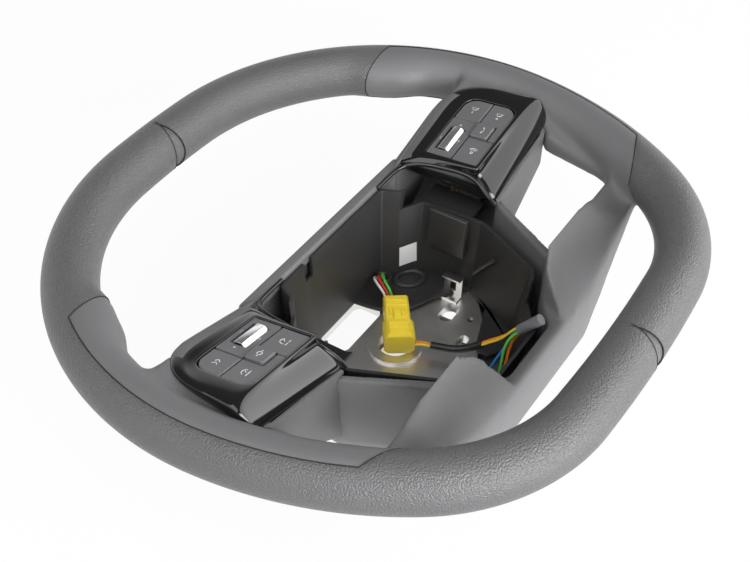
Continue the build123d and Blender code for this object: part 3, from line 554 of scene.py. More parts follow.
def leather_finish():
    return finish_of("pebbled_leather", chosen().leather, 0.36, (0.10, 25.0), grain=(1050.0, 0.00042))


def soft_finish():
    return finish_of("soft_skin", chosen().soft, 0.50, (0.08, 18.0), grain=(1900.0, 0.00010))


def liner_finish():
    return finish_of("well_plastic", chosen().liner, 0.40, (0.15, 60.0), grain=(2600.0, 0.00006))


def gloss_finish():
    return finish_of("piano_black", chosen().gloss, 0.10, (0.03, 30.0), rubbed=(900.0, 0.000003),
                     Coat_Weight=0.6, Coat_Roughness=0.03)


def key_finish():
    return finish_of("satin_key", chosen().key, 0.42, (0.06, 80.0), grain=(3800.0, 0.00004))


def casting_finish():
    return finish_of("bare_casting", chosen().casting, 0.34, (0.16, 70.0), grain=(1500.0, 0.00004),
                     rubbed=(500.0, 0.00002), Metallic=1.0)


def connector_finish():
    return finish_of("yellow_connector", chosen().yellow, 0.36, (0.10, 110.0), grain=(3000.0, 0.00003))


def chrome_finish():
    return finish_of("satin_chrome", (0.94, 0.94, 0.95), 0.24, (0.05, 120.0), rubbed=(1400.0, 0.00001),
                     Metallic=1.0)


def spring_finish():
    return finish_of("bright_spring_steel", (0.60, 0.59, 0.58), 0.30, (0.08, 150.0), rubbed=(900.0, 0.00001),
                     Metallic=1.0)


def brass_finish():
    return finish_of("brass_contact", (0.80, 0.58, 0.22), 0.28, (0.10, 300.0), rubbed=(1600.0, 0.00001),
                     Metallic=1.0)


def screw_finish():
    return finish_of("dark_screw_steel", (0.22, 0.22, 0.23), 0.35, (0.15, 300.0), rubbed=(1600.0, 0.00001),
                     Metallic=1.0)


def board_finish():
    return finish_of("board_laminate", (0.02, 0.12, 0.05), 0.45, (0.20, 200.0), rubbed=(1500.0, 0.00001))


def foam_finish():
    return finish_of("moulded_foam", (0.10, 0.10, 0.10), 0.80, (0.20, 120.0), grain=(700.0, 0.0003))


def label_finish():
    return finish_of("plain_sticker", (0.78, 0.78, 0.78), 0.55, (0.04, 90.0), grain=(4000.0, 0.00002))


def print_finish():
    return finish_of("white_print", (0.80, 0.80, 0.80), 0.50, (0.03, 400.0), grain=(4000.0, 0.00001))


def tape_finish():
    return finish_of("loom_tape", (0.16, 0.16, 0.17), 0.42, (0.25, 260.0), rubbed=(1200.0, 0.00012))


# Near-black painted shade for the lines along the seams
def seam_shade_finish():
    return finish_of("seam_shadow", (0.010, 0.010, 0.010), 0.85, (0.10, 200.0), grain=(3000.0, 0.00003))


WIRE_COLOURS = {
    "white_wire": (0.80, 0.79, 0.76),
    "red_wire": (0.62, 0.03, 0.02),
    "green_wire": (0.10, 0.52, 0.06),
    "yellow_wire": (0.85, 0.68, 0.04),
    "orange_wire": (0.90, 0.26, 0.02),
    "blue_wire": (0.03, 0.22, 0.62),
    "green_drop_wire": (0.13, 0.56, 0.07),
    "orange_drop_wire": (0.90, 0.24, 0.02),
    "black_sleeve": (0.018, 0.018, 0.019),
}


def wire_finish(name):
    return finish_of("pvc_" + name, WIRE_COLOURS[name], 0.38, (0.10, 300.0), rubbed=(1800.0, 0.00003))


SENSOR_WIDTH = 36.0
NEAREST_SIGHT = 0.01
LAMP_AIM = (0.0, 0.0, 0.06)
# Share of the floor that is plain white to the eye, and the grey that takes the shadow
FLOOR_WHITE = 0.93
FLOOR_GREY = (0.80, 0.80, 0.80, 1.0)
ROOM_COLOUR = (0.97, 0.98, 1.0, 1.0)
# Heights on the sky's unit sphere between which the horizon's light gives way to the light from above
HORIZON_TOP = 0.05
SKY_START = 0.45


class WHEEL_OT_stage(bpy.types.Operator):
    """Makes the floor, the lamps and the camera"""

    bl_idname = "wheel.stage"
    bl_label = "Stage"

    def execute(self, context):
        sizes = context.scene.wheel_stage
        deselect()
        bpy.ops.mesh.primitive_plane_add(size=sizes.floor_side)
        floor = context.object
        floor.name = "floor"
        dress(floor, self.floor_finish())
        self.light_room(context.scene, sizes.room_light, sizes.horizon_light)
        # Name, place, side and share of the lamp power
        lamps = (
            ("overhead_lamp", (-0.80, 0.20, sizes.lamp_height), 1.6, 0.65),
            ("front_lamp", (-0.50, -1.40, 0.36), 1.5, 2.5),
            ("low_lamp", (0.90, -1.10, 0.42), 2.2, 1.2),
        )
        for name, place, side, share in lamps:
            self.add_lamp(name, place, side, sizes.lamp_power * share)
        bpy.ops.object.camera_add(location=sizes.camera_place, rotation=sizes.camera_turn)
        camera = context.object
        camera.data.lens = sizes.lens
        camera.data.sensor_width = SENSOR_WIDTH
        camera.data.clip_start = NEAREST_SIGHT
        context.scene.camera = camera
        context.scene.view_settings.view_transform = "Standard"
        return {"FINISHED"}

    def floor_finish(self):
        """White floor to the eye and to reflections, that still takes a little of the shadow."""
        material = bpy.data.materials.new("white_floor")
        material.use_nodes = True
        tree = material.node_tree
        tree.nodes.clear()
        rays = add(tree, "ShaderNodeLightPath").outputs
        seen = math_node(tree, "MAXIMUM", rays["Is Camera Ray"], rays["Is Glossy Ray"])
        seen = math_node(tree, "MAXIMUM", seen, rays["Is Transmission Ray"])
        plain = preset(add(tree, "ShaderNodeBsdfDiffuse"), Color=FLOOR_GREY)
        white = preset(add(tree, "ShaderNodeEmission"), Color=(1.0, 1.0, 1.0, 1.0), Strength=1.0)
        mix = add(tree, "ShaderNodeMixShader")
        tree.links.new(math_node(tree, "MULTIPLY", seen, FLOOR_WHITE), mix.inputs[0])
        tree.links.new(plain.outputs[0], mix.inputs[1])
        tree.links.new(white.outputs[0], mix.inputs[2])
        output = add(tree, "ShaderNodeOutputMaterial")
        tree.links.new(mix.outputs[0], output.inputs["Surface"])
        return material

    def light_room(self, scene, strength, horizon):
        """Pale light from all round, stronger towards the horizon."""
        world = bpy.data.worlds.new("pale_room")
        world.use_nodes = True
        tree = world.node_tree
        background = preset(tree.nodes["Background"], Color=ROOM_COLOUR)
        coords = add(tree, "ShaderNodeTexCoord")
        parts = add(tree, "ShaderNodeSeparateXYZ")
        tree.links.new(coords.outputs["Generated"], parts.inputs[0])
        level = add(tree, "ShaderNodeMapRange", clamp=True)
        preset(level, From_Min=HORIZON_TOP, From_Max=SKY_START, To_Min=horizon, To_Max=strength)
        tree.links.new(parts.outputs["Z"], level.inputs["Value"])
        tree.links.new(level.outputs[0], background.inputs["Strength"])
        scene.world = world

    def add_lamp(self, name, place, side, power):
        """Square soft lamp that faces the wheel."""
        aim = Vector(LAMP_AIM) - Vector(place)
        turn = aim.to_track_quat("-Z", "Y").to_euler()
        bpy.ops.object.light_add(type="AREA", location=place, rotation=turn)
        lamp = bpy.context.object
        lamp.name = name
        lamp.data.shape = "SQUARE"
        lamp.data.size = side
        lamp.data.energy = power


# Routes of the wires, as the CAD model has them, and their radii, in millimetres
WIRE_ROUTES = {
    "white_wire": [
        (21.36, 19.53, 33.6), (25.82, 22.75, 33.6), (28.0, 29.0, 36.6), (31.0, 34.4, 37.2),
        (36.4, 36.8, 33.6), (40.8, 37.3, 28.0), (41.7, 37.2, 22.2), (42.0, 37.0, 16.6),
    ],
    "red_wire": [
        (22.41, 18.07, 34.6), (26.87, 21.29, 34.6), (29.2, 27.4, 37.8), (32.6, 32.6, 38.2),
        (37.9, 35.4, 34.8), (42.3, 36.2, 29.2), (43.2, 36.2, 22.9), (43.5, 36.0, 16.6),
    ],
    "green_wire": [
        (23.46, 16.61, 35.4), (27.92, 19.83, 35.4), (30.6, 26.0, 39.0), (34.4, 30.8, 39.2),
        (39.5, 33.9, 35.9), (43.8, 34.9, 30.4), (44.8, 35.0, 23.5), (45.1, 34.8, 16.6),
    ],
    "yellow_wire": [
        (0.58, -13.23, 33.3), (2.28, -15.58, 33.3), (3.6, -18.3, 33.2), (4.6, -21.3, 33.0),
        (6.55, -26.8, 32.8), (8.4, -32.9, 33.2), (10.4, -38.5, 34.6), (12.6, -43.7, 37.4),
        (14.6, -48.5, 41.0), (16.2, -52.4, 43.9), (17.0, -57.0, 47.7), (17.3, -61.0, 52.8),
        (17.55, -64.19, 58.39), (18.19, -67.1, 61.75),
    ],
    "orange_wire": [
        (2.12, -12.12, 33.3), (3.82, -14.47, 33.3), (5.2, -17.4, 33.2), (6.2, -20.7, 33.0),
        (8.15, -26.2, 32.8), (10.0, -32.3, 33.2), (12.0, -37.9, 34.6), (14.2, -43.1, 37.4),
        (16.2, -47.9, 41.0), (17.9, -51.7, 43.9), (19.0, -56.2, 47.4), (19.4, -60.8, 52.0),
        (19.71, -65.17, 57.13), (20.35, -68.08, 60.49),
    ],
    "black_sleeve": [
        (5.2, -20.6, 33.0), (7.35, -26.5, 32.8), (9.2, -32.6, 33.2), (11.2, -38.2, 34.6),
        (13.4, -43.4, 37.4), (15.4, -48.2, 41.0),
    ],
    "blue_wire": [
        (13.4, -54.6, 16.6), (13.5, -54.8, 21.8), (14.2, -55.8, 27.2), (15.3, -57.4, 32.6),
        (16.4, -59.2, 37.8), (17.3, -61.0, 42.8), (17.8, -62.6, 47.8), (17.9, -64.0, 52.6),
        (17.86, -65.58, 57.13), (18.5, -68.49, 60.49),
    ],
    "green_drop_wire": [
        (16.64, -68.9, 60.49), (16.04, -66.18, 57.35), (14.0, -64.2, 53.6), (11.8, -63.6, 49.2),
        (10.0, -63.8, 44.4), (8.7, -64.2, 39.4), (7.9, -64.2, 34.2), (7.5, -63.6, 29.0),
        (7.5, -62.8, 22.8), (7.7, -62.3, 16.6),
    ],
    "orange_drop_wire": [
        (18.8, -69.88, 59.23), (18.2, -67.16, 56.09), (16.6, -65.8, 52.0), (14.4, -65.3, 47.8),
        (12.4, -65.6, 43.4), (11.0, -65.9, 38.4), (10.2, -65.6, 33.2), (9.8, -64.9, 28.0),
        (9.8, -64.1, 22.2), (9.9, -63.7, 16.6),
    ],
}
WIRE_RADII = {"black_sleeve": 2.3, "blue_wire": 0.9, "green_drop_wire": 0.9, "orange_drop_wire": 0.9}
PLAIN_WIRE_RADIUS = 0.8
# Slots of the wires that share one or have one of another name
WIRE_SLOTS = {"green_drop_wire": "green_wire", "orange_drop_wire": "orange_wire", "black_sleeve": "sleeve"}


class WHEEL_OT_wires(bpy.types.Operator):
    """Lays the loose wires of the connector and the loom"""

    bl_idname = "wheel.wires"
    bl_label = "Wires"

    def execute(self, context):
        for name, route in WIRE_ROUTES.items():
            self.lay(name, route)
        return {"FINISHED"}

    def lay(self, name, route):
        """One wire as a smooth curve along its route."""
        radius = WIRE_RADII.get(name, PLAIN_WIRE_RADIUS) * MM
        line = [[value * MM for value in place] for place in route]
        wire = bead(name + "_laid", [line], radius, order=3, steps=10, roundness=4)
        dress(wire, wire_finish(name))
        seat(wire, "wheel", WIRE_SLOTS.get(name, name), name)


def rim_arcs(sizes):
    """Centre, radius and last clock angle of each arc of the right half, from the top."""
    top = Vector((0.0, sizes.top - sizes.top_radius))
    side = Vector((sizes.half_width - sizes.side_radius, sizes.side_centre))
    bottom = Vector((0.0, sizes.bottom_radius - sizes.bottom))
    shoulder = arc_between(top, sizes.top_radius, side, sizes.side_radius, sizes.shoulder_radius)
    corner = arc_between(bottom, sizes.bottom_radius, side, sizes.side_radius, sizes.corner_radius)
    return (
        (top, sizes.top_radius, clock(shoulder - top)),
        (shoulder, sizes.shoulder_radius, clock(shoulder - side)),
        (side, sizes.side_radius, clock(corner - side)),
        (corner, sizes.corner_radius, clock(corner - bottom)),
        (bottom, sizes.bottom_radius, math.pi),
    )


def arc_between(centre_a, radius_a, centre_b, radius_b, radius):
    """Centre of an arc that touches two larger arcs from inside, on the right."""
    reach_a = radius_a - radius
    reach_b = radius_b - radius
    span = centre_b - centre_a
    along = (reach_a ** 2 - reach_b ** 2 + span.length_squared) / (2 * span.length)
    aside = math.sqrt(reach_a ** 2 - along ** 2)
    unit = span.normalized()
    sideways = Vector((-unit.y, unit.x))
    centres = [centre_a + unit * along + sideways * aside * sign for sign in (1, -1)]
    return max(centres, key=lambda place: place.x)


def clock(direction):
    """Angle of a direction from twelve o'clock, clockwise."""
    return math.atan2(direction.x, direction.y)


def rim_offset(place, arcs):
    """How far a place lies outside the rim's centre line, in plan."""
    spot = Vector((abs(place.x), place.y))
    for centre, radius, stop in arcs:
        if clock(spot - centre) <= stop:
            return (spot - centre).length - radius
    return (spot - arcs[-1][0]).length - arcs[-1][1]


RIM_STEP = 0.0024
SECTION_POINTS = 60
HALVES_GAP = 0.0001
SECTION_GAP = 0.00002
THUMB_SEED = 0.009
THUMB_REACH = 0.020


def rim_tube(name, sizes, radius):
    """Tube along the rim, with the thumb rests swelling on its inner side."""
    arcs = rim_arcs(sizes)
    # The turn by the crest's angle also tilts the section out of the mirror plane, so that the halves
    # leave a gap at twelve and six o'clock
    crest = math.asin(sizes.crest_offset / sizes.grip_radius)
    deselect()
    bpy.ops.mesh.primitive_circle_add(
        vertices=SECTION_POINTS, radius=radius, location=(0.0, sizes.top, sizes.plane),
        rotation=(-crest, math.radians(90.0), 0.0),
    )
    rim = named(settle(bpy.context.object), name)
    edit(rim)
    start = 0.0
    for centre, arc_radius, stop in arcs:
        steps = max(2, round((stop - start) * arc_radius / RIM_STEP))
        bpy.ops.mesh.spin(
            steps=steps, angle=stop - start, center=(centre.x, centre.y, sizes.plane), axis=(0.0, 0.0, 1.0),
        )
        start = stop
    leave()
    bake(rim, "MIRROR", use_clip=False, merge_threshold=HALVES_GAP)
    edit(rim)
    bpy.ops.mesh.remove_doubles(threshold=SECTION_GAP)
    bpy.ops.mesh.normals_make_consistent(inside=False)
    leave()
    shoulder, shoulder_radius, _ = arcs[1]
    outwards = Vector((math.sin(sizes.thumb_angle), math.cos(sizes.thumb_angle)))
    inner = shoulder + outwards * (shoulder_radius - radius)
    for side in (1, -1):
        spot = Vector((side * inner.x, inner.y, sizes.plane))
        shift = (-side * outwards.x * sizes.thumb_rise, -outwards.y * sizes.thumb_rise, 0.0)
        swell(rim, spot, THUMB_SEED, shift, THUMB_REACH)
    return rim


# Distance from the middle beyond which the soft panels lie, and beyond which their lower seams are cut
PANEL_START = 0.090
LOW_SEAM_START = 0.050
# Where the right lower seam meets the crest, and how near the cut a point has to be to lie on it
LOW_SEAM_CREST = 0.1472
LOW_SEAM_GAP = 0.00001
# How far below the rim's plane the panels reach on the inner side
PANEL_DROP = 0.0122
# Share of a seam's width by which the leather's edges turn in
SEAM_TURN_IN = 0.45


class WHEEL_OT_rim(bpy.types.Operator):
    """Models the leather of the rim, open where the soft panels lie, and the painted shade along the seams"""

    bl_idname = "wheel.rim"
    bl_label = "Leather rim"

    def execute(self, context):
        sizes = context.scene.wheel_rim
        leather = rim_tube("rim_leather", sizes, sizes.grip_radius)
        arcs = rim_arcs(sizes)
        self.cut_seams(leather, sizes)
        pick(leather, "FACE", lambda face: self.under_panel(face.center, sizes, arcs))
        bpy.ops.mesh.delete(type="FACE")
        self.turn_in(sizes)
        seams = self.seam_shade_lines(leather, sizes)
        bake(leather, "SOLIDIFY", thickness=sizes.leather_wall, offset=-1.0)
        dress(smooth_shade(leather, BEAD_SHARP_ANGLE), leather_finish())
        covers = [side + piece + "_rim_cover" for side in SIDES for piece in ("top", "side", "low")]
        seat(leather, "wheel", "leather", *covers)
        # The lines along the seams are painted shade, not a dark joint of the leather
        dress(smooth_shade(seams), seam_shade_finish())
        seat(seams, "wheel", "leather")
        return {"FINISHED"}

    def low_seam(self, sizes):
        """Point and direction of the lower seam, in plan, on the right."""
        inner = Vector(sizes.seam_low_inner)
        crest = Vector((LOW_SEAM_CREST, sizes.seam_low))
        return crest, crest - inner

    def cut_seams(self, leather, sizes):
        """Cuts edges across the rim where the soft panels end."""
        edit(leather)
        bpy.ops.mesh.bisect(plane_co=(0.0, sizes.seam_top, 0.0), plane_no=(0.0, 1.0, 0.0))
        leave()
        point, along = self.low_seam(sizes)
        for side in (1, -1):
            pick(leather, "FACE", lambda face: side * face.center.x > LOW_SEAM_START and face.center.y < 0.0)
            bpy.ops.mesh.bisect(
                plane_co=(side * point.x, point.y, 0.0),
                plane_no=Vector((-side * along.y, along.x, 0.0)).normalized(), threshold=LOW_SEAM_GAP,
            )
            leave()

    def under_panel(self, place, sizes, arcs):
        """Whether a place on the rim belongs to a soft panel."""
        point, along = self.low_seam(sizes)
        spot = Vector((abs(place.x), place.y)) - point
        above_low = along.x * spot.y - along.y * spot.x > 0.0
        offset = rim_offset(place, arcs)
        high = place.z > sizes.plane and offset < sizes.crest_offset
        inner = place.z > sizes.plane - PANEL_DROP and offset < 0.0
        return abs(place.x) > PANEL_START and above_low and place.y < sizes.seam_top and (high or inner)

    def turn_in(self, sizes):
        """Turns the leather's cut edges in a little, as it is pulled into the seam."""
        bpy.ops.mesh.select_mode(type="EDGE")
        bpy.ops.mesh.select_all(action="DESELECT")
        bpy.ops.mesh.select_non_manifold(
            extend=False, use_wire=False, use_boundary=True, use_multi_face=False, use_non_contiguous=False,
            use_verts=False,
        )
        bpy.ops.transform.shrink_fatten(value=-SEAM_TURN_IN * sizes.seam_width)

    def seam_shade_lines(self, leather, sizes):
        """Thin near-black bead along every open edge of the leather: painted shade where the seam's step
        would be shadowed.
        """
        bpy.ops.mesh.duplicate()
        bpy.ops.mesh.separate(type="SELECTED")
        leave()
        lines = next(thing for thing in bpy.context.selected_objects if thing != leather)
        lines.name = "seam_shade_lines"
        choose(lines)
        bpy.ops.object.convert(target="CURVE")
        lines = bpy.context.object
        lines.data.bevel_depth = sizes.seam_width / 2
        lines.data.bevel_resolution = 1
        return meshed(lines)


COVER_VOXEL = 0.00148
# Rounds of smoothing: all over, on the panels by the rim, and at the ends of the arms
COVER_ROUNDS = 10
PANEL_ROUNDS = 24
ARM_END_ROUNDS = 20
SMOOTH_FACTOR = 0.5
WEB_TOP = 0.0485
# Where the right arm runs into the rim, how far the skin is let down there, and how far that spreads
ARM_END = (0.118, -0.066, 0.0985)
ARM_END_DROP = 0.0050
ARM_END_SEED = 0.006
ARM_END_REACH = 0.019
ARM_BLEND_REACH = 0.018
# The rim's core runs on above the upper seam and down to this height
CORE_TOP_MARGIN = 0.012
CORE_LOW_END = -0.094


class WHEEL_OT_soft_cover(bpy.types.Operator):
    """Models the soft skin that flows from the rim over the spokes, the lower arms and the hub"""

    bl_idname = "wheel.soft_cover"
    bl_label = "Soft cover"

    def execute(self, context):
        core = self.rim_core(context.scene.wheel_rim)
        nodes = ["hub_shell"]
        for side in SIDES:
            nodes += [side + "spoke_cover", side + "lower_arm"]
        parts = [node_copy(node, "cover_" + node) for node in nodes]
        for part, node in zip(parts, nodes):
            if node.endswith("spoke_cover"):
                self.trim_web(part)
        cover = join("soft_cover", [core] + parts)
        bake(cover, "REMESH", mode="VOXEL", voxel_size=COVER_VOXEL)
        soft = cover.vertex_groups.new(name="soft")
        for point in cover.data.vertices:
            if abs(point.co.x) > PANEL_START:
                soft.add([point.index], 1.0, "REPLACE")
        bake(cover, "SMOOTH", factor=SMOOTH_FACTOR, iterations=COVER_ROUNDS)
        bake(cover, "SMOOTH", factor=SMOOTH_FACTOR, iterations=PANEL_ROUNDS, vertex_group="soft")
        self.blend_arm_ends(cover)
        dress(cover, soft_finish())
        choose(cover)
        bpy.ops.object.shade_smooth()
        seat(cover, "wheel", "soft_panel", *nodes)
        return {"FINISHED"}

    def blend_arm_ends(self, cover):
        """Lets the skin down where the arms run into the rim, and smooths it there."""
        x, y, z = ARM_END
        for side in (1, -1):
            spot = Vector((side * x, y, z))
            swell(cover, spot, ARM_END_SEED, (0.0, 0.0, -ARM_END_DROP), ARM_END_REACH)
        ends = cover.vertex_groups.new(name="arm_ends")
        for point in cover.data.vertices:
            away = (Vector((abs(point.co.x), point.co.y, point.co.z)) - Vector(ARM_END)).length
            if away < ARM_BLEND_REACH:
                # Full in the inner half of the reach, fading out over the outer half
                weight = min(1.0, 2.0 - 2.0 * away / ARM_BLEND_REACH)
                ends.add([point.index], weight, "REPLACE")
        bake(cover, "SMOOTH", factor=SMOOTH_FACTOR, iterations=ARM_END_ROUNDS, vertex_group="arm_ends")

    def trim_web(self, part):
        """Cuts the web back, so that the opening above it reaches down to the surround."""
        edit(part)
        bpy.ops.mesh.bisect(
            plane_co=(0.0, WEB_TOP, 0.0), plane_no=(0.0, 1.0, 0.0), use_fill=True, clear_outer=True,
        )
        leave()

    def rim_core(self, sizes):
        """Closed lengths of the rim under the soft panels."""
        core = rim_tube("rim_core", sizes, sizes.grip_radius - sizes.panel_sink)
        pick(core, "FACE", lambda face: face.center.y > sizes.seam_top + CORE_TOP_MARGIN
             or face.center.y < CORE_LOW_END or abs(face.center.x) < PANEL_START)
        bpy.ops.mesh.delete(type="FACE")
        bpy.ops.mesh.select_all(action="SELECT")
        bpy.ops.mesh.fill_holes(sides=0)
        leave()
        return core


SPOKE_BACK_EASE = 0.0008


class WHEEL_OT_spoke_backs(bpy.types.Operator):
    """Models the backs of the spokes with their eased edges"""

    bl_idname = "wheel.spoke_backs"
    bl_label = "Spoke backs"

    def execute(self, context):
        back = rounded_copy("right_spoke_back", "right_back", SPOKE_BACK_EASE)
        dress(smooth_shade(back), soft_finish())
        seat_both(back, "left_back", "soft_panel", node="spoke_back")
        return {"FINISHED"}


def pad_axes(sizes):
    """Matrix from the right pad's own axes to the wheel's."""
    out = Vector((1.0, 0.0, sizes.slope_out)).normalized()
    face = Vector((-sizes.slope_out, -sizes.slope_up, 1.0)).normalized()
    up = face.cross(out)
    axes = Matrix((out, up, face)).transposed().to_4x4()
    axes.translation = sizes.place
    return axes


CORNER_STEPS = 6
SIDE_STEPS = 5


def rounded_loop(corners, radii):
    """Points round a four-cornered loop in space, its corners eased."""
    points = []
    for index, corner in enumerate(corners):
        before = corners[index - 1]
        after = corners[(index + 1) % len(corners)]
        start = corner + (before - corner).normalized() * radii[index]
        stop = corner + (after - corner).normalized() * radii[index]
        for step in range(CORNER_STEPS + 1):
            share = step / CORNER_STEPS
            points.append(start.lerp(corner, share).lerp(corner.lerp(stop, share), share))
        following = after + (corner - after).normalized() * radii[(index + 1) % len(corners)]
        for step in range(1, SIDE_STEPS):
            points.append(stop.lerp(following, step / SIDE_STEPS))
    return points


def skin(name, loops):
    """Closed surface: each loop is extruded from the one before, and the last is bridged to the first."""
    count = len(loops[0])
    deselect()
    bpy.ops.mesh.primitive_circle_add(vertices=count)
    thing = named(bpy.context.object, name)
    bpy.ops.object.mode_set(mode="EDIT")
    bpy.ops.mesh.select_mode(type="EDGE")
    leave()
    for step, loop in enumerate(loops):
        if step:
            bpy.ops.object.mode_set(mode="EDIT")
            bpy.ops.mesh.extrude_edges_move()
            leave()
        for point, place in zip(thing.data.vertices[step * count:], loop):
            point.co = place
    bpy.ops.object.mode_set(mode="EDIT")
    bpy.ops.mesh.select_all(action="DESELECT")
    bpy.ops.mesh.select_non_manifold()
    bpy.ops.mesh.bridge_edge_loops()
    bpy.ops.mesh.select_all(action="SELECT")
    bpy.ops.mesh.normals_make_consistent(inside=False)
    leave()
    return thing


# Loops of the right surround from the pad's pocket outwards, in millimetres. The pocket's rings have their
# growth from the keys' outline and their height in the pad's own axes, as the crest has. The others are in
# the wheel's axes. Corners go from hub top to outer top, outer low and hub low
POCKET_RINGS = ((0.05, -3.0), (0.05, 0.1), (0.35, 0.5), (0.9, 0.6))
CREST = ((-30.0, 20.0, 0.3), (33.0, 20.5, 0.8), (36.5, -19.6, 0.9), (-30.0, -20.0, 0.4))
CREST_RADII = (3.0, 14.0, 7.0, 3.0)
SHOULDER = ((78.0, 41.0, 96.0), (147.0, 43.5, 110.4), (154.0, -5.0, 115.2), (83.6, -2.6, 98.6))
SHOULDER_RADII = (6.0, 26.0, 4.0, 3.0)
FLANK = ((74.6, 47.6, 92.4), (150.4, 50.6, 110.6), (154.6, -9.4, 110.6), (81.6, -10.4, 93.0))
FLANK_RADII = (5.0, 31.0, 4.0, 3.0)
FOOT = ((75.4, 51.6, 89.4), (151.2, 52.0, 109.8), (152.0, -14.4, 103.0), (80.4, -17.4, 86.2))
FOOT_RADII = (3.0, 32.0, 4.0, 3.0)
TUCK_IN = 2.0
TUCK_DOWN = 4.0
# Soft band along the upper side: from the shoulder's ring outwards, between these columns of the loops
BAND_RING = 5
BAND_START = 3
BAND_STOP = 13
SURROUND_LEVELS = 2


class WHEEL_OT_surrounds(bpy.types.Operator):
    """Models the gloss surrounds of the switch pads, with the soft band along their upper side"""

    bl_idname = "wheel.surrounds"
    bl_label = "Pad surrounds"

    def execute(self, context):
        loops = self.loops(context.scene.wheel_pads)
        surround = skin("right_surround", loops)
        surround.data.materials.append(gloss_finish())
        surround.data.materials.append(soft_finish())
        count = len(loops[0])
        for face in surround.data.polygons:
            rings = [index // count for index in face.vertices]
            columns = [index % count for index in face.vertices]
            on_band = min(rings) >= BAND_RING and min(columns) >= BAND_START and max(columns) <= BAND_STOP
            face.material_index = int(on_band)
        bake(surround, "SUBSURF", levels=SURROUND_LEVELS, render_levels=SURROUND_LEVELS)
        choose(surround)
        bpy.ops.object.shade_smooth()
        seat_both(surround, "left_surround", "gloss_black", node="bezel")
        return {"FINISHED"}

    def loops(self, sizes):
        """Loops from the pocket's foot over the crest and down to the foot of the flanks."""
        axes = pad_axes(sizes)
        pocket_radii = [sizes.hub_round, sizes.outer_round, sizes.outer_round, sizes.hub_round]
        rings = []
        for grow, rise in POCKET_RINGS:
            reach = grow * MM
            hub = sizes.hub_edge - reach
            outer = sizes.outer_edge + reach
            high = sizes.half_height + reach
            corners = ((hub, high), (outer, high), (outer, -high), (hub, -high))
            spots = [axes @ Vector((u, v, rise * MM)) for u, v in corners]
            rings.append(rounded_loop(spots, [radius + reach for radius in pocket_radii]))
        crest = [axes @ corner for corner in in_metres(CREST)]
        rings.append(rounded_loop(crest, [radius * MM for radius in CREST_RADII]))
        for corners, radii in ((SHOULDER, SHOULDER_RADII), (FLANK, FLANK_RADII), (FOOT, FOOT_RADII)):
            rings.append(rounded_loop(in_metres(corners), [radius * MM for radius in radii]))
        middle = sum(rings[-1], Vector()) / len(rings[-1])
        tuck = []
        for spot in rings[-1]:
            inwards = (middle - spot).normalized() * TUCK_IN * MM
            tuck.append(spot + inwards - Vector((0.0, 0.0, TUCK_DOWN * MM)))
        rings.append(tuck)
        return rings


def arc_line(middle, radius, start, stop, steps=8):
    """Points of an arc in the pad's plane, in millimetres and degrees."""
    points = []
    for step in range(steps + 1):
        angle = math.radians(start + (stop - start) * step / steps)
        points.append((middle[0] + radius * math.cos(angle), middle[1] + radius * math.sin(angle)))
    return points


CONE = [(0.3, -0.7), (0.3, 0.7), (2.0, 1.8), (2.0, -1.8), (0.3, -0.7)]
MINUS = [(-2.4, 0.0), (-0.9, 0.0)]
PLUS_STEM = [(-1.65, -0.75), (-1.65, 0.75)]
# Middle of each key's drawing in the pad, and how far its face lies above the pad's plane
MARK_PLACES = {
    "upper_key": ((17.4, 8.8), 0.0),
    "lower_key": ((17.4, -8.2), 0.0),
    "centre_key": ((1.8, -5.6), 1.4),
    "inner_key": ((-15.2, -8.8), 0.0),
}
# Strokes of each key's drawing round its middle
RIGHT_MARKS = {
    "upper_key": [CONE, MINUS],
    "lower_key": [CONE, MINUS, PLUS_STEM],
    "centre_key": [
        arc_line((0.0, 0.9), 2.0, 205, 335), [(-2.1, -0.2), (-1.5, -0.9)], [(2.1, -0.2), (1.5, -0.9)],
    ],
    "inner_key": [
        arc_line((-1.4, 0.0), 0.7, 0, 360), arc_line((-1.0, 0.0), 1.8, -48, 48),
        arc_line((-1.0, 0.0), 2.8, -48, 48),
    ],
}
LEFT_MARKS = {
    "upper_key": [[(-1.7, -1.3), (-0.4, 0.0), (-1.7, 1.3)], [(0.4, -1.3), (1.7, 0.0), (0.4, 1.3)]],
    "lower_key": [
        arc_line((0.0, -0.6), 2.1, 20, 160), [(0.0, -0.6), (1.2, 0.9)], [(-2.1, -1.6), (2.1, -1.6)],
    ],
    "centre_key": [
        arc_line((0.0, 0.0), 1.2, 0, 360), [(1.6, 0.0), (2.6, 0.0)], [(-2.6, 0.0), (-1.6, 0.0)],
    ],
    "inner_key": [
        arc_line((0.0, 0.2), 2.0, 30, 200), [(0.0, 0.2), (1.3, 1.4)], [(-2.2, -1.6), (-0.4, -1.6)],
        [(0.4, -1.6), (2.2, -1.6)],
    ],
}
MARK_SCALE = 1.2
# Share of a line's width by which its middle lies below the face
MARK_SINK = 0.3
ROLLER_TICKS = [
    [(-12.6, 15.4), (-11.6, 15.4)], [(-10.6, 15.1), (-10.6, 15.7)], [(-11.4, 3.4), (-9.8, 3.4)],
    [(-10.6, 3.0), (-10.6, 3.8)], [(2.0, 8.6), (2.0, 10.2)], [(2.8, 9.0), (2.8, 9.8)],
]


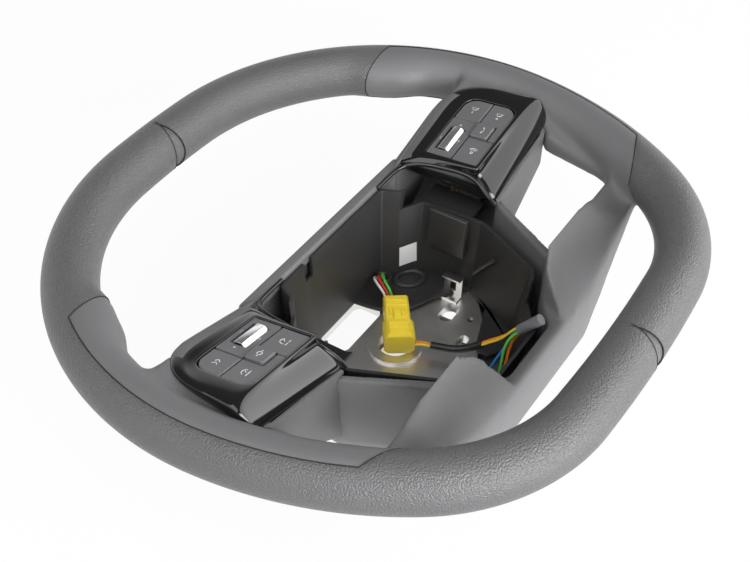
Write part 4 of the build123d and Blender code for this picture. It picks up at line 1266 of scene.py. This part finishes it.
class WHEEL_OT_key_marks(bpy.types.Operator):
    """Prints plain line drawings on the keys and the ticks beside the rollers"""

    bl_idname = "wheel.key_marks"
    bl_label = "Key marks"

    def execute(self, context):
        sizes = context.scene.wheel_pads
        for side, turn, marks in zip(SIDES, (1.0, -1.0), (RIGHT_MARKS, LEFT_MARKS)):
            for key, strokes in marks.items():
                (u, v), top = MARK_PLACES[key]
                lines = []
                for stroke in strokes:
                    lines.append([(u + turn * MARK_SCALE * x, v + MARK_SCALE * y) for x, y in stroke])
                self.draw_lines(side + key + "_mark", side + key, turn, lines, top, sizes)
            self.draw_lines(side + "roller_ticks", "wheel", turn, ROLLER_TICKS, 0.0, sizes)
        return {"FINISHED"}

    def draw_lines(self, name, body, turn, lines, top, sizes):
        """Thin printed lines on a key's face."""
        axes = pad_axes(sizes)
        height = top * MM - MARK_SINK * sizes.mark_width
        placed = []
        for line in lines:
            spots = [axes @ Vector((u * MM, v * MM, height)) for u, v in line]
            placed.append([(turn * spot.x, spot.y, spot.z) for spot in spots])
        drawing = meshed(bead(name, placed, sizes.mark_width / 2, kind="POLY", roundness=1))
        dress(smooth_shade(drawing), print_finish())
        seat(drawing, body, "label")


ROLLER_FLATS = 8
# Faces that point along the axis by more than this are the ends, which get a rim, a dish and a pivot
END_FACING = 0.9
ROLLER_RIM = 0.0008
ROLLER_DISH = 0.0006
PIVOT_STEP = 0.0032
PIVOT_LENGTH = 0.0022
ROLLER_EASE = 0.0003
ROLLER_SHARP_ANGLE = 25.0


class WHEEL_OT_rollers(bpy.types.Operator):
    """Models the bright thumb rollers with their eight flats"""

    bl_idname = "wheel.rollers"
    bl_label = "Thumb rollers"

    def execute(self, context):
        sizes = context.scene.wheel_pads
        deselect()
        bpy.ops.mesh.primitive_cylinder_add(
            vertices=ROLLER_FLATS, radius=sizes.roller_radius, depth=sizes.roller_length,
            rotation=(0.0, 0.0, math.pi / ROLLER_FLATS),
        )
        roller = named(settle(context.object), "right_thumb_roller")
        pick(roller, "FACE", lambda face: abs(face.normal.z) > END_FACING)
        bpy.ops.mesh.inset(thickness=ROLLER_RIM)
        bpy.ops.mesh.extrude_region_shrink_fatten(TRANSFORM_OT_shrink_fatten={"value": -ROLLER_DISH})
        bpy.ops.mesh.inset(thickness=PIVOT_STEP)
        bpy.ops.mesh.extrude_region_shrink_fatten(TRANSFORM_OT_shrink_fatten={"value": PIVOT_LENGTH})
        leave()
        ease(roller, ROLLER_EASE, segments=2, degrees=NODE_EASE_ANGLE)
        turn = Matrix.Rotation(math.radians(90.0), 4, "Y")
        roller.matrix_world = pad_axes(sizes) @ Matrix.Translation(sizes.roller_place) @ turn
        settle(roller)
        dress(smooth_shade(roller, ROLLER_SHARP_ANGLE), chrome_finish())
        seat_both(roller, "left_thumb_roller", "chrome", node="roller", body="roller")
        return {"FINISHED"}


LINER_EASE = 0.0007
# Top bar: its ends, further out than this, run in under the surrounds by the reach
BAR_EASE = 0.0022
BAR_END = 0.060
BAR_REACH = 0.0125
# Mouth of the right spoke towards the hub: the lip's line from the bar round to the low tip, in millimetres
MOUTH_LIP = [
    (48.0, 44.6, 90.6), (62.0, 44.6, 90.9), (71.0, 44.0, 91.6), (75.4, 38.8, 93.4), (78.4, 31.0, 95.2),
    (80.4, 17.0, 96.6), (82.0, 3.0, 97.0), (81.6, -4.0, 94.6), (80.0, -9.0, 91.2), (78.9, -14.0, 88.2),
    (79.1, -17.6, 85.6),
]
LIP_RADIUS = 0.0013
# Black moulding over the hub's floor: outlines in plan in millimetres, then heights
UPPER_FLOOR = [
    (15.8, 43.0), (16.2, 36.0), (17.2, 29.3), (18.6, 23.0), (20.8, 17.8), (23.8, 13.4), (27.9, 9.8),
    (33.0, 6.6), (38.3, 4.0), (43.0, 2.0), (47.3, 0.0), (51.0, -2.4), (54.7, -5.3), (66.0, -13.0),
    (65.0, 6.0), (63.0, 25.0), (53.0, 30.6), (48.0, 40.6),
]
FRONT_FLOOR = [
    (66.0, -16.0), (66.0, -21.5), (62.0, -26.0), (57.8, -28.4), (52.0, -30.6), (46.1, -32.6),
    (38.0, -35.4), (30.0, -38.2), (24.1, -40.6), (21.0, -44.0), (20.0, -50.0), (35.0, -58.6),
    (46.0, -51.6),
]
FLOOR_LOW = 0.0256
FLOOR_HIGH = 0.0284
FLOOR_EASE = 0.0009
# Raised rims of the two oval holes: place, radius, bead and stretch, and how both are turned and flattened
OVAL_RIM = ((0.0520, 0.0215, 0.0288), 0.0066, 0.0017, 1.35)
WIRE_HOLE_RIM = ((0.0430, 0.0362, 0.0286), 0.0044, 0.0013, 1.2)
OVAL_TURN = -35.0
OVAL_FLATNESS = 0.8
OVAL_STEPS = 36
OVAL_BEAD_STEPS = 10
# Raised field and slanting rib of the right wall
WALL_FIELD = [(62.4, -8.0), (66.2, -8.0), (66.2, 17.0), (62.4, 17.0)]
WALL_FIELD_LOW = 0.050
WALL_FIELD_HIGH = 0.0785
WALL_FIELD_EASE = 0.0010
WALL_RIB = [(62.5, -16.0, 44.0), (61.6, -20.0, 50.0), (60.2, -25.0, 57.0), (58.6, -29.6, 63.0)]
WALL_RIB_RADIUS = 0.0014
SPOKE_FLOOR = [(72.0, -4.0), (94.0, -4.0), (94.0, 30.0), (72.0, 30.0)]
SPOKE_FLOOR_LOW = 0.0695
SPOKE_FLOOR_HIGH = 0.0715
SPOKE_FLOOR_EASE = 0.0006
# Contacts that show under the right pad's lip: outline in plan, foot and top
CONTACTS = (
    ([(79.4, 12.4), (81.4, 12.4), (81.4, 10.8), (79.4, 10.8)], 0.083, 0.0915),
    ([(79.8, 9.2), (81.8, 9.2), (81.8, 7.6), (79.8, 7.6)], 0.083, 0.0925),
    ([(80.2, 6.0), (82.2, 6.0), (82.2, 4.4), (80.2, 4.4)], 0.083, 0.0920),
)
CONTACT_EASE = 0.0003


class WHEEL_OT_well(bpy.types.Operator):
    """Models the lips, mouldings and ribs round the hub's well"""

    bl_idname = "wheel.well"
    bl_label = "Hub well"

    def execute(self, context):
        liner = dress(rounded_copy("hub_liner", "well_liner", LINER_EASE), liner_finish())
        seat(liner, "wheel", "liner", "hub_liner")
        seat(dress(self.long_bar(), soft_finish()), "wheel", "soft_panel", "top_bar")
        lip = tube("right_mouth_lip", [in_metres(MOUTH_LIP)], LIP_RADIUS)
        seat_both(dress(lip, gloss_finish()), "left_mouth_lip", "gloss_black")
        self.line_well("well_floor", [
            slab("upper_floor", UPPER_FLOOR, FLOOR_LOW, FLOOR_HIGH, FLOOR_EASE),
            slab("front_floor", FRONT_FLOOR, FLOOR_LOW, FLOOR_HIGH, FLOOR_EASE),
            self.ring(*OVAL_RIM),
            self.ring(*WIRE_HOLE_RIM),
        ])
        self.line_well("well_ribs", [
            slab("wall_field", WALL_FIELD, WALL_FIELD_LOW, WALL_FIELD_HIGH, WALL_FIELD_EASE),
            tube("wall_rib", [in_metres(WALL_RIB)], WALL_RIB_RADIUS, order=3),
        ])
        inside = slab("right_spoke_floor", SPOKE_FLOOR, SPOKE_FLOOR_LOW, SPOKE_FLOOR_HIGH, SPOKE_FLOOR_EASE)
        seat_both(dress(inside, liner_finish()), "left_spoke_floor", "liner")
        contacts = join("switch_contacts", [slab("contact", *contact, CONTACT_EASE) for contact in CONTACTS])
        seat_both(dress(contacts, brass_finish()), "left_switch_contacts", "chrome")
        return {"FINISHED"}

    def line_well(self, name, parts):
        """One black piece of the well from its parts."""
        piece = smooth_shade(join(name, parts), EASED_SHARP_ANGLE)
        seat(dress(piece, liner_finish()), "wheel", "liner")

    def long_bar(self):
        """Top bar with eased edges, its ends run in under the surrounds."""
        bar = rounded_copy("top_bar", "hub_top_bar", BAR_EASE, segments=3)
        for side in (1, -1):
            pick(bar, "VERT", lambda point: side * point.co.x > BAR_END)
            bpy.ops.transform.translate(value=(side * BAR_REACH, 0.0, 0.0))
            leave()
        return bar

    def ring(self, place, radius, bead_radius, stretch):
        """Raised rim of an oval hole."""
        deselect()
        bpy.ops.mesh.primitive_torus_add(
            location=place, rotation=(0.0, 0.0, math.radians(OVAL_TURN)), major_radius=radius,
            minor_radius=bead_radius, major_segments=OVAL_STEPS, minor_segments=OVAL_BEAD_STEPS,
        )
        ring = bpy.context.object
        ring.scale = (stretch, 1.0, OVAL_FLATNESS)
        return settle(ring)


# Relief on the connector, in the connector's own axes: along it from its low end, across it and up
CONNECTOR_PLACE = (-5.5, -6.5, 27.0)
CONNECTOR_TURN = 35.8
SOCKET_TOP = 14.0
SOCKET_EASE = 0.0007
SOCKET_LINES = (
    [(3.0, -5.6), (11.8, -5.6), (11.8, 5.6), (3.0, 5.6), (3.0, -5.6)],
    [(7.4, -5.6), (7.4, 5.6)],
)
PLUG_TOP = 12.0
PLUG_EASE = 0.0006
PLUG_LINES = (
    [(19.0, -4.2), (26.0, -4.2), (26.0, 4.2), (19.0, 4.2), (19.0, -4.2)],
    [(22.5, -4.2), (22.5, 4.2)],
    [(28.5, -5.6), (28.5, 5.6)],
    [(30.6, -5.6), (30.6, 5.6)],
    [(32.7, -5.6), (32.7, 5.6)],
)
RELIEF_RADIUS = 0.00048


class WHEEL_OT_connector(bpy.types.Operator):
    """Models the yellow connector with its eased edges, frames and grip ribs"""

    bl_idname = "wheel.connector"
    bl_label = "Connector"

    def execute(self, context):
        self.half("connector_socket", "yellow_socket", SOCKET_EASE, SOCKET_LINES, SOCKET_TOP)
        self.half("connector_plug", "yellow_plug", PLUG_EASE, PLUG_LINES, PLUG_TOP)
        return {"FINISHED"}

    def half(self, name, node, width, lines, top):
        """One half of the connector with the relief on its upper face."""
        half = join(name, [rounded_copy(node, name, width, segments=3), self.relief(lines, top)])
        seat(dress(smooth_shade(half, EASED_SHARP_ANGLE), connector_finish()), "wheel", "yellow", node)

    def relief(self, lines, top):
        """Raised lines on the connector's upper face."""
        turn = math.radians(CONNECTOR_TURN)
        along = Vector((math.cos(turn), math.sin(turn), 0.0))
        across = Vector((-math.sin(turn), math.cos(turn), 0.0))
        start = Vector(CONNECTOR_PLACE)
        rise = Vector((0.0, 0.0, top))
        placed = [[(start + along * x + across * y + rise) * MM for x, y in line] for line in lines]
        return tube("connector_relief", placed, RELIEF_RADIUS, order=2)


# Finishes of the pieces that keep their CAD shape, in the middle and on each side
MIDDLE_FINISHES = {
    "armature": casting_finish, "rim_ring": screw_finish, "rim_foam": foam_finish,
    "shell_screws": screw_finish, "loom_tape": tape_finish, "blank_label": label_finish,
}
SIDE_FINISHES = {
    "roller_panel": key_finish, "roller_carrier": liner_finish, "switch_case": liner_finish,
    "switch_board": board_finish, "board_screws": screw_finish, "airbag_catch": spring_finish,
    "upper_key": key_finish, "lower_key": key_finish, "centre_key": key_finish, "inner_key": key_finish,
}


class WHEEL_OT_plain_nodes(bpy.types.Operator):
    """Gives the pieces that keep their CAD shape their materials"""

    bl_idname = "wheel.plain_nodes"
    bl_label = "CAD pieces"

    def execute(self, context):
        finishes = dict(MIDDLE_FINISHES)
        for side in SIDES:
            for node, finish in SIDE_FINISHES.items():
                finishes[side + node] = finish
        for node, finish in finishes.items():
            dress(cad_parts[node], finish())
        return {"FINISHED"}


class WHEEL_PT_panel(bpy.types.Panel):
    """Lists the steps that make the wheel"""

    bl_idname = "WHEEL_PT_panel"
    bl_label = "Steering wheel"
    bl_space_type = "VIEW_3D"
    bl_region_type = "UI"
    bl_category = "Wheel"

    def draw(self, context):
        for step in STEPS:
            self.layout.operator(step.bl_idname)


STEPS = (
    WHEEL_OT_stage,
    WHEEL_OT_wires,
    WHEEL_OT_plain_nodes,
    WHEEL_OT_rim,
    WHEEL_OT_soft_cover,
    WHEEL_OT_spoke_backs,
    WHEEL_OT_surrounds,
    WHEEL_OT_rollers,
    WHEEL_OT_key_marks,
    WHEEL_OT_well,
    WHEEL_OT_connector,
)
CLASSES = (StageSizes, RimSizes, PadSizes, Finishes) + STEPS + (WHEEL_PT_panel,)


def register():
    for item in CLASSES:
        bpy.utils.register_class(item)
    bpy.types.Scene.wheel_stage = bpy.props.PointerProperty(type=StageSizes)
    bpy.types.Scene.wheel_rim = bpy.props.PointerProperty(type=RimSizes)
    bpy.types.Scene.wheel_pads = bpy.props.PointerProperty(type=PadSizes)
    bpy.types.Scene.wheel_finishes = bpy.props.PointerProperty(type=Finishes)


def unregister():
    del bpy.types.Scene.wheel_finishes
    del bpy.types.Scene.wheel_pads
    del bpy.types.Scene.wheel_rim
    del bpy.types.Scene.wheel_stage
    for item in reversed(CLASSES):
        bpy.utils.unregister_class(item)


def main():
    register()
    bpy.ops.wheel.stage()
    bpy.ops.wheel.wires()
    bpy.ops.wheel.plain_nodes()
    bpy.ops.wheel.rim()
    bpy.ops.wheel.soft_cover()
    bpy.ops.wheel.spoke_backs()
    bpy.ops.wheel.surrounds()
    bpy.ops.wheel.rollers()
    bpy.ops.wheel.key_marks()
    bpy.ops.wheel.well()
    bpy.ops.wheel.connector()


if __name__ == "__main__":
    main()
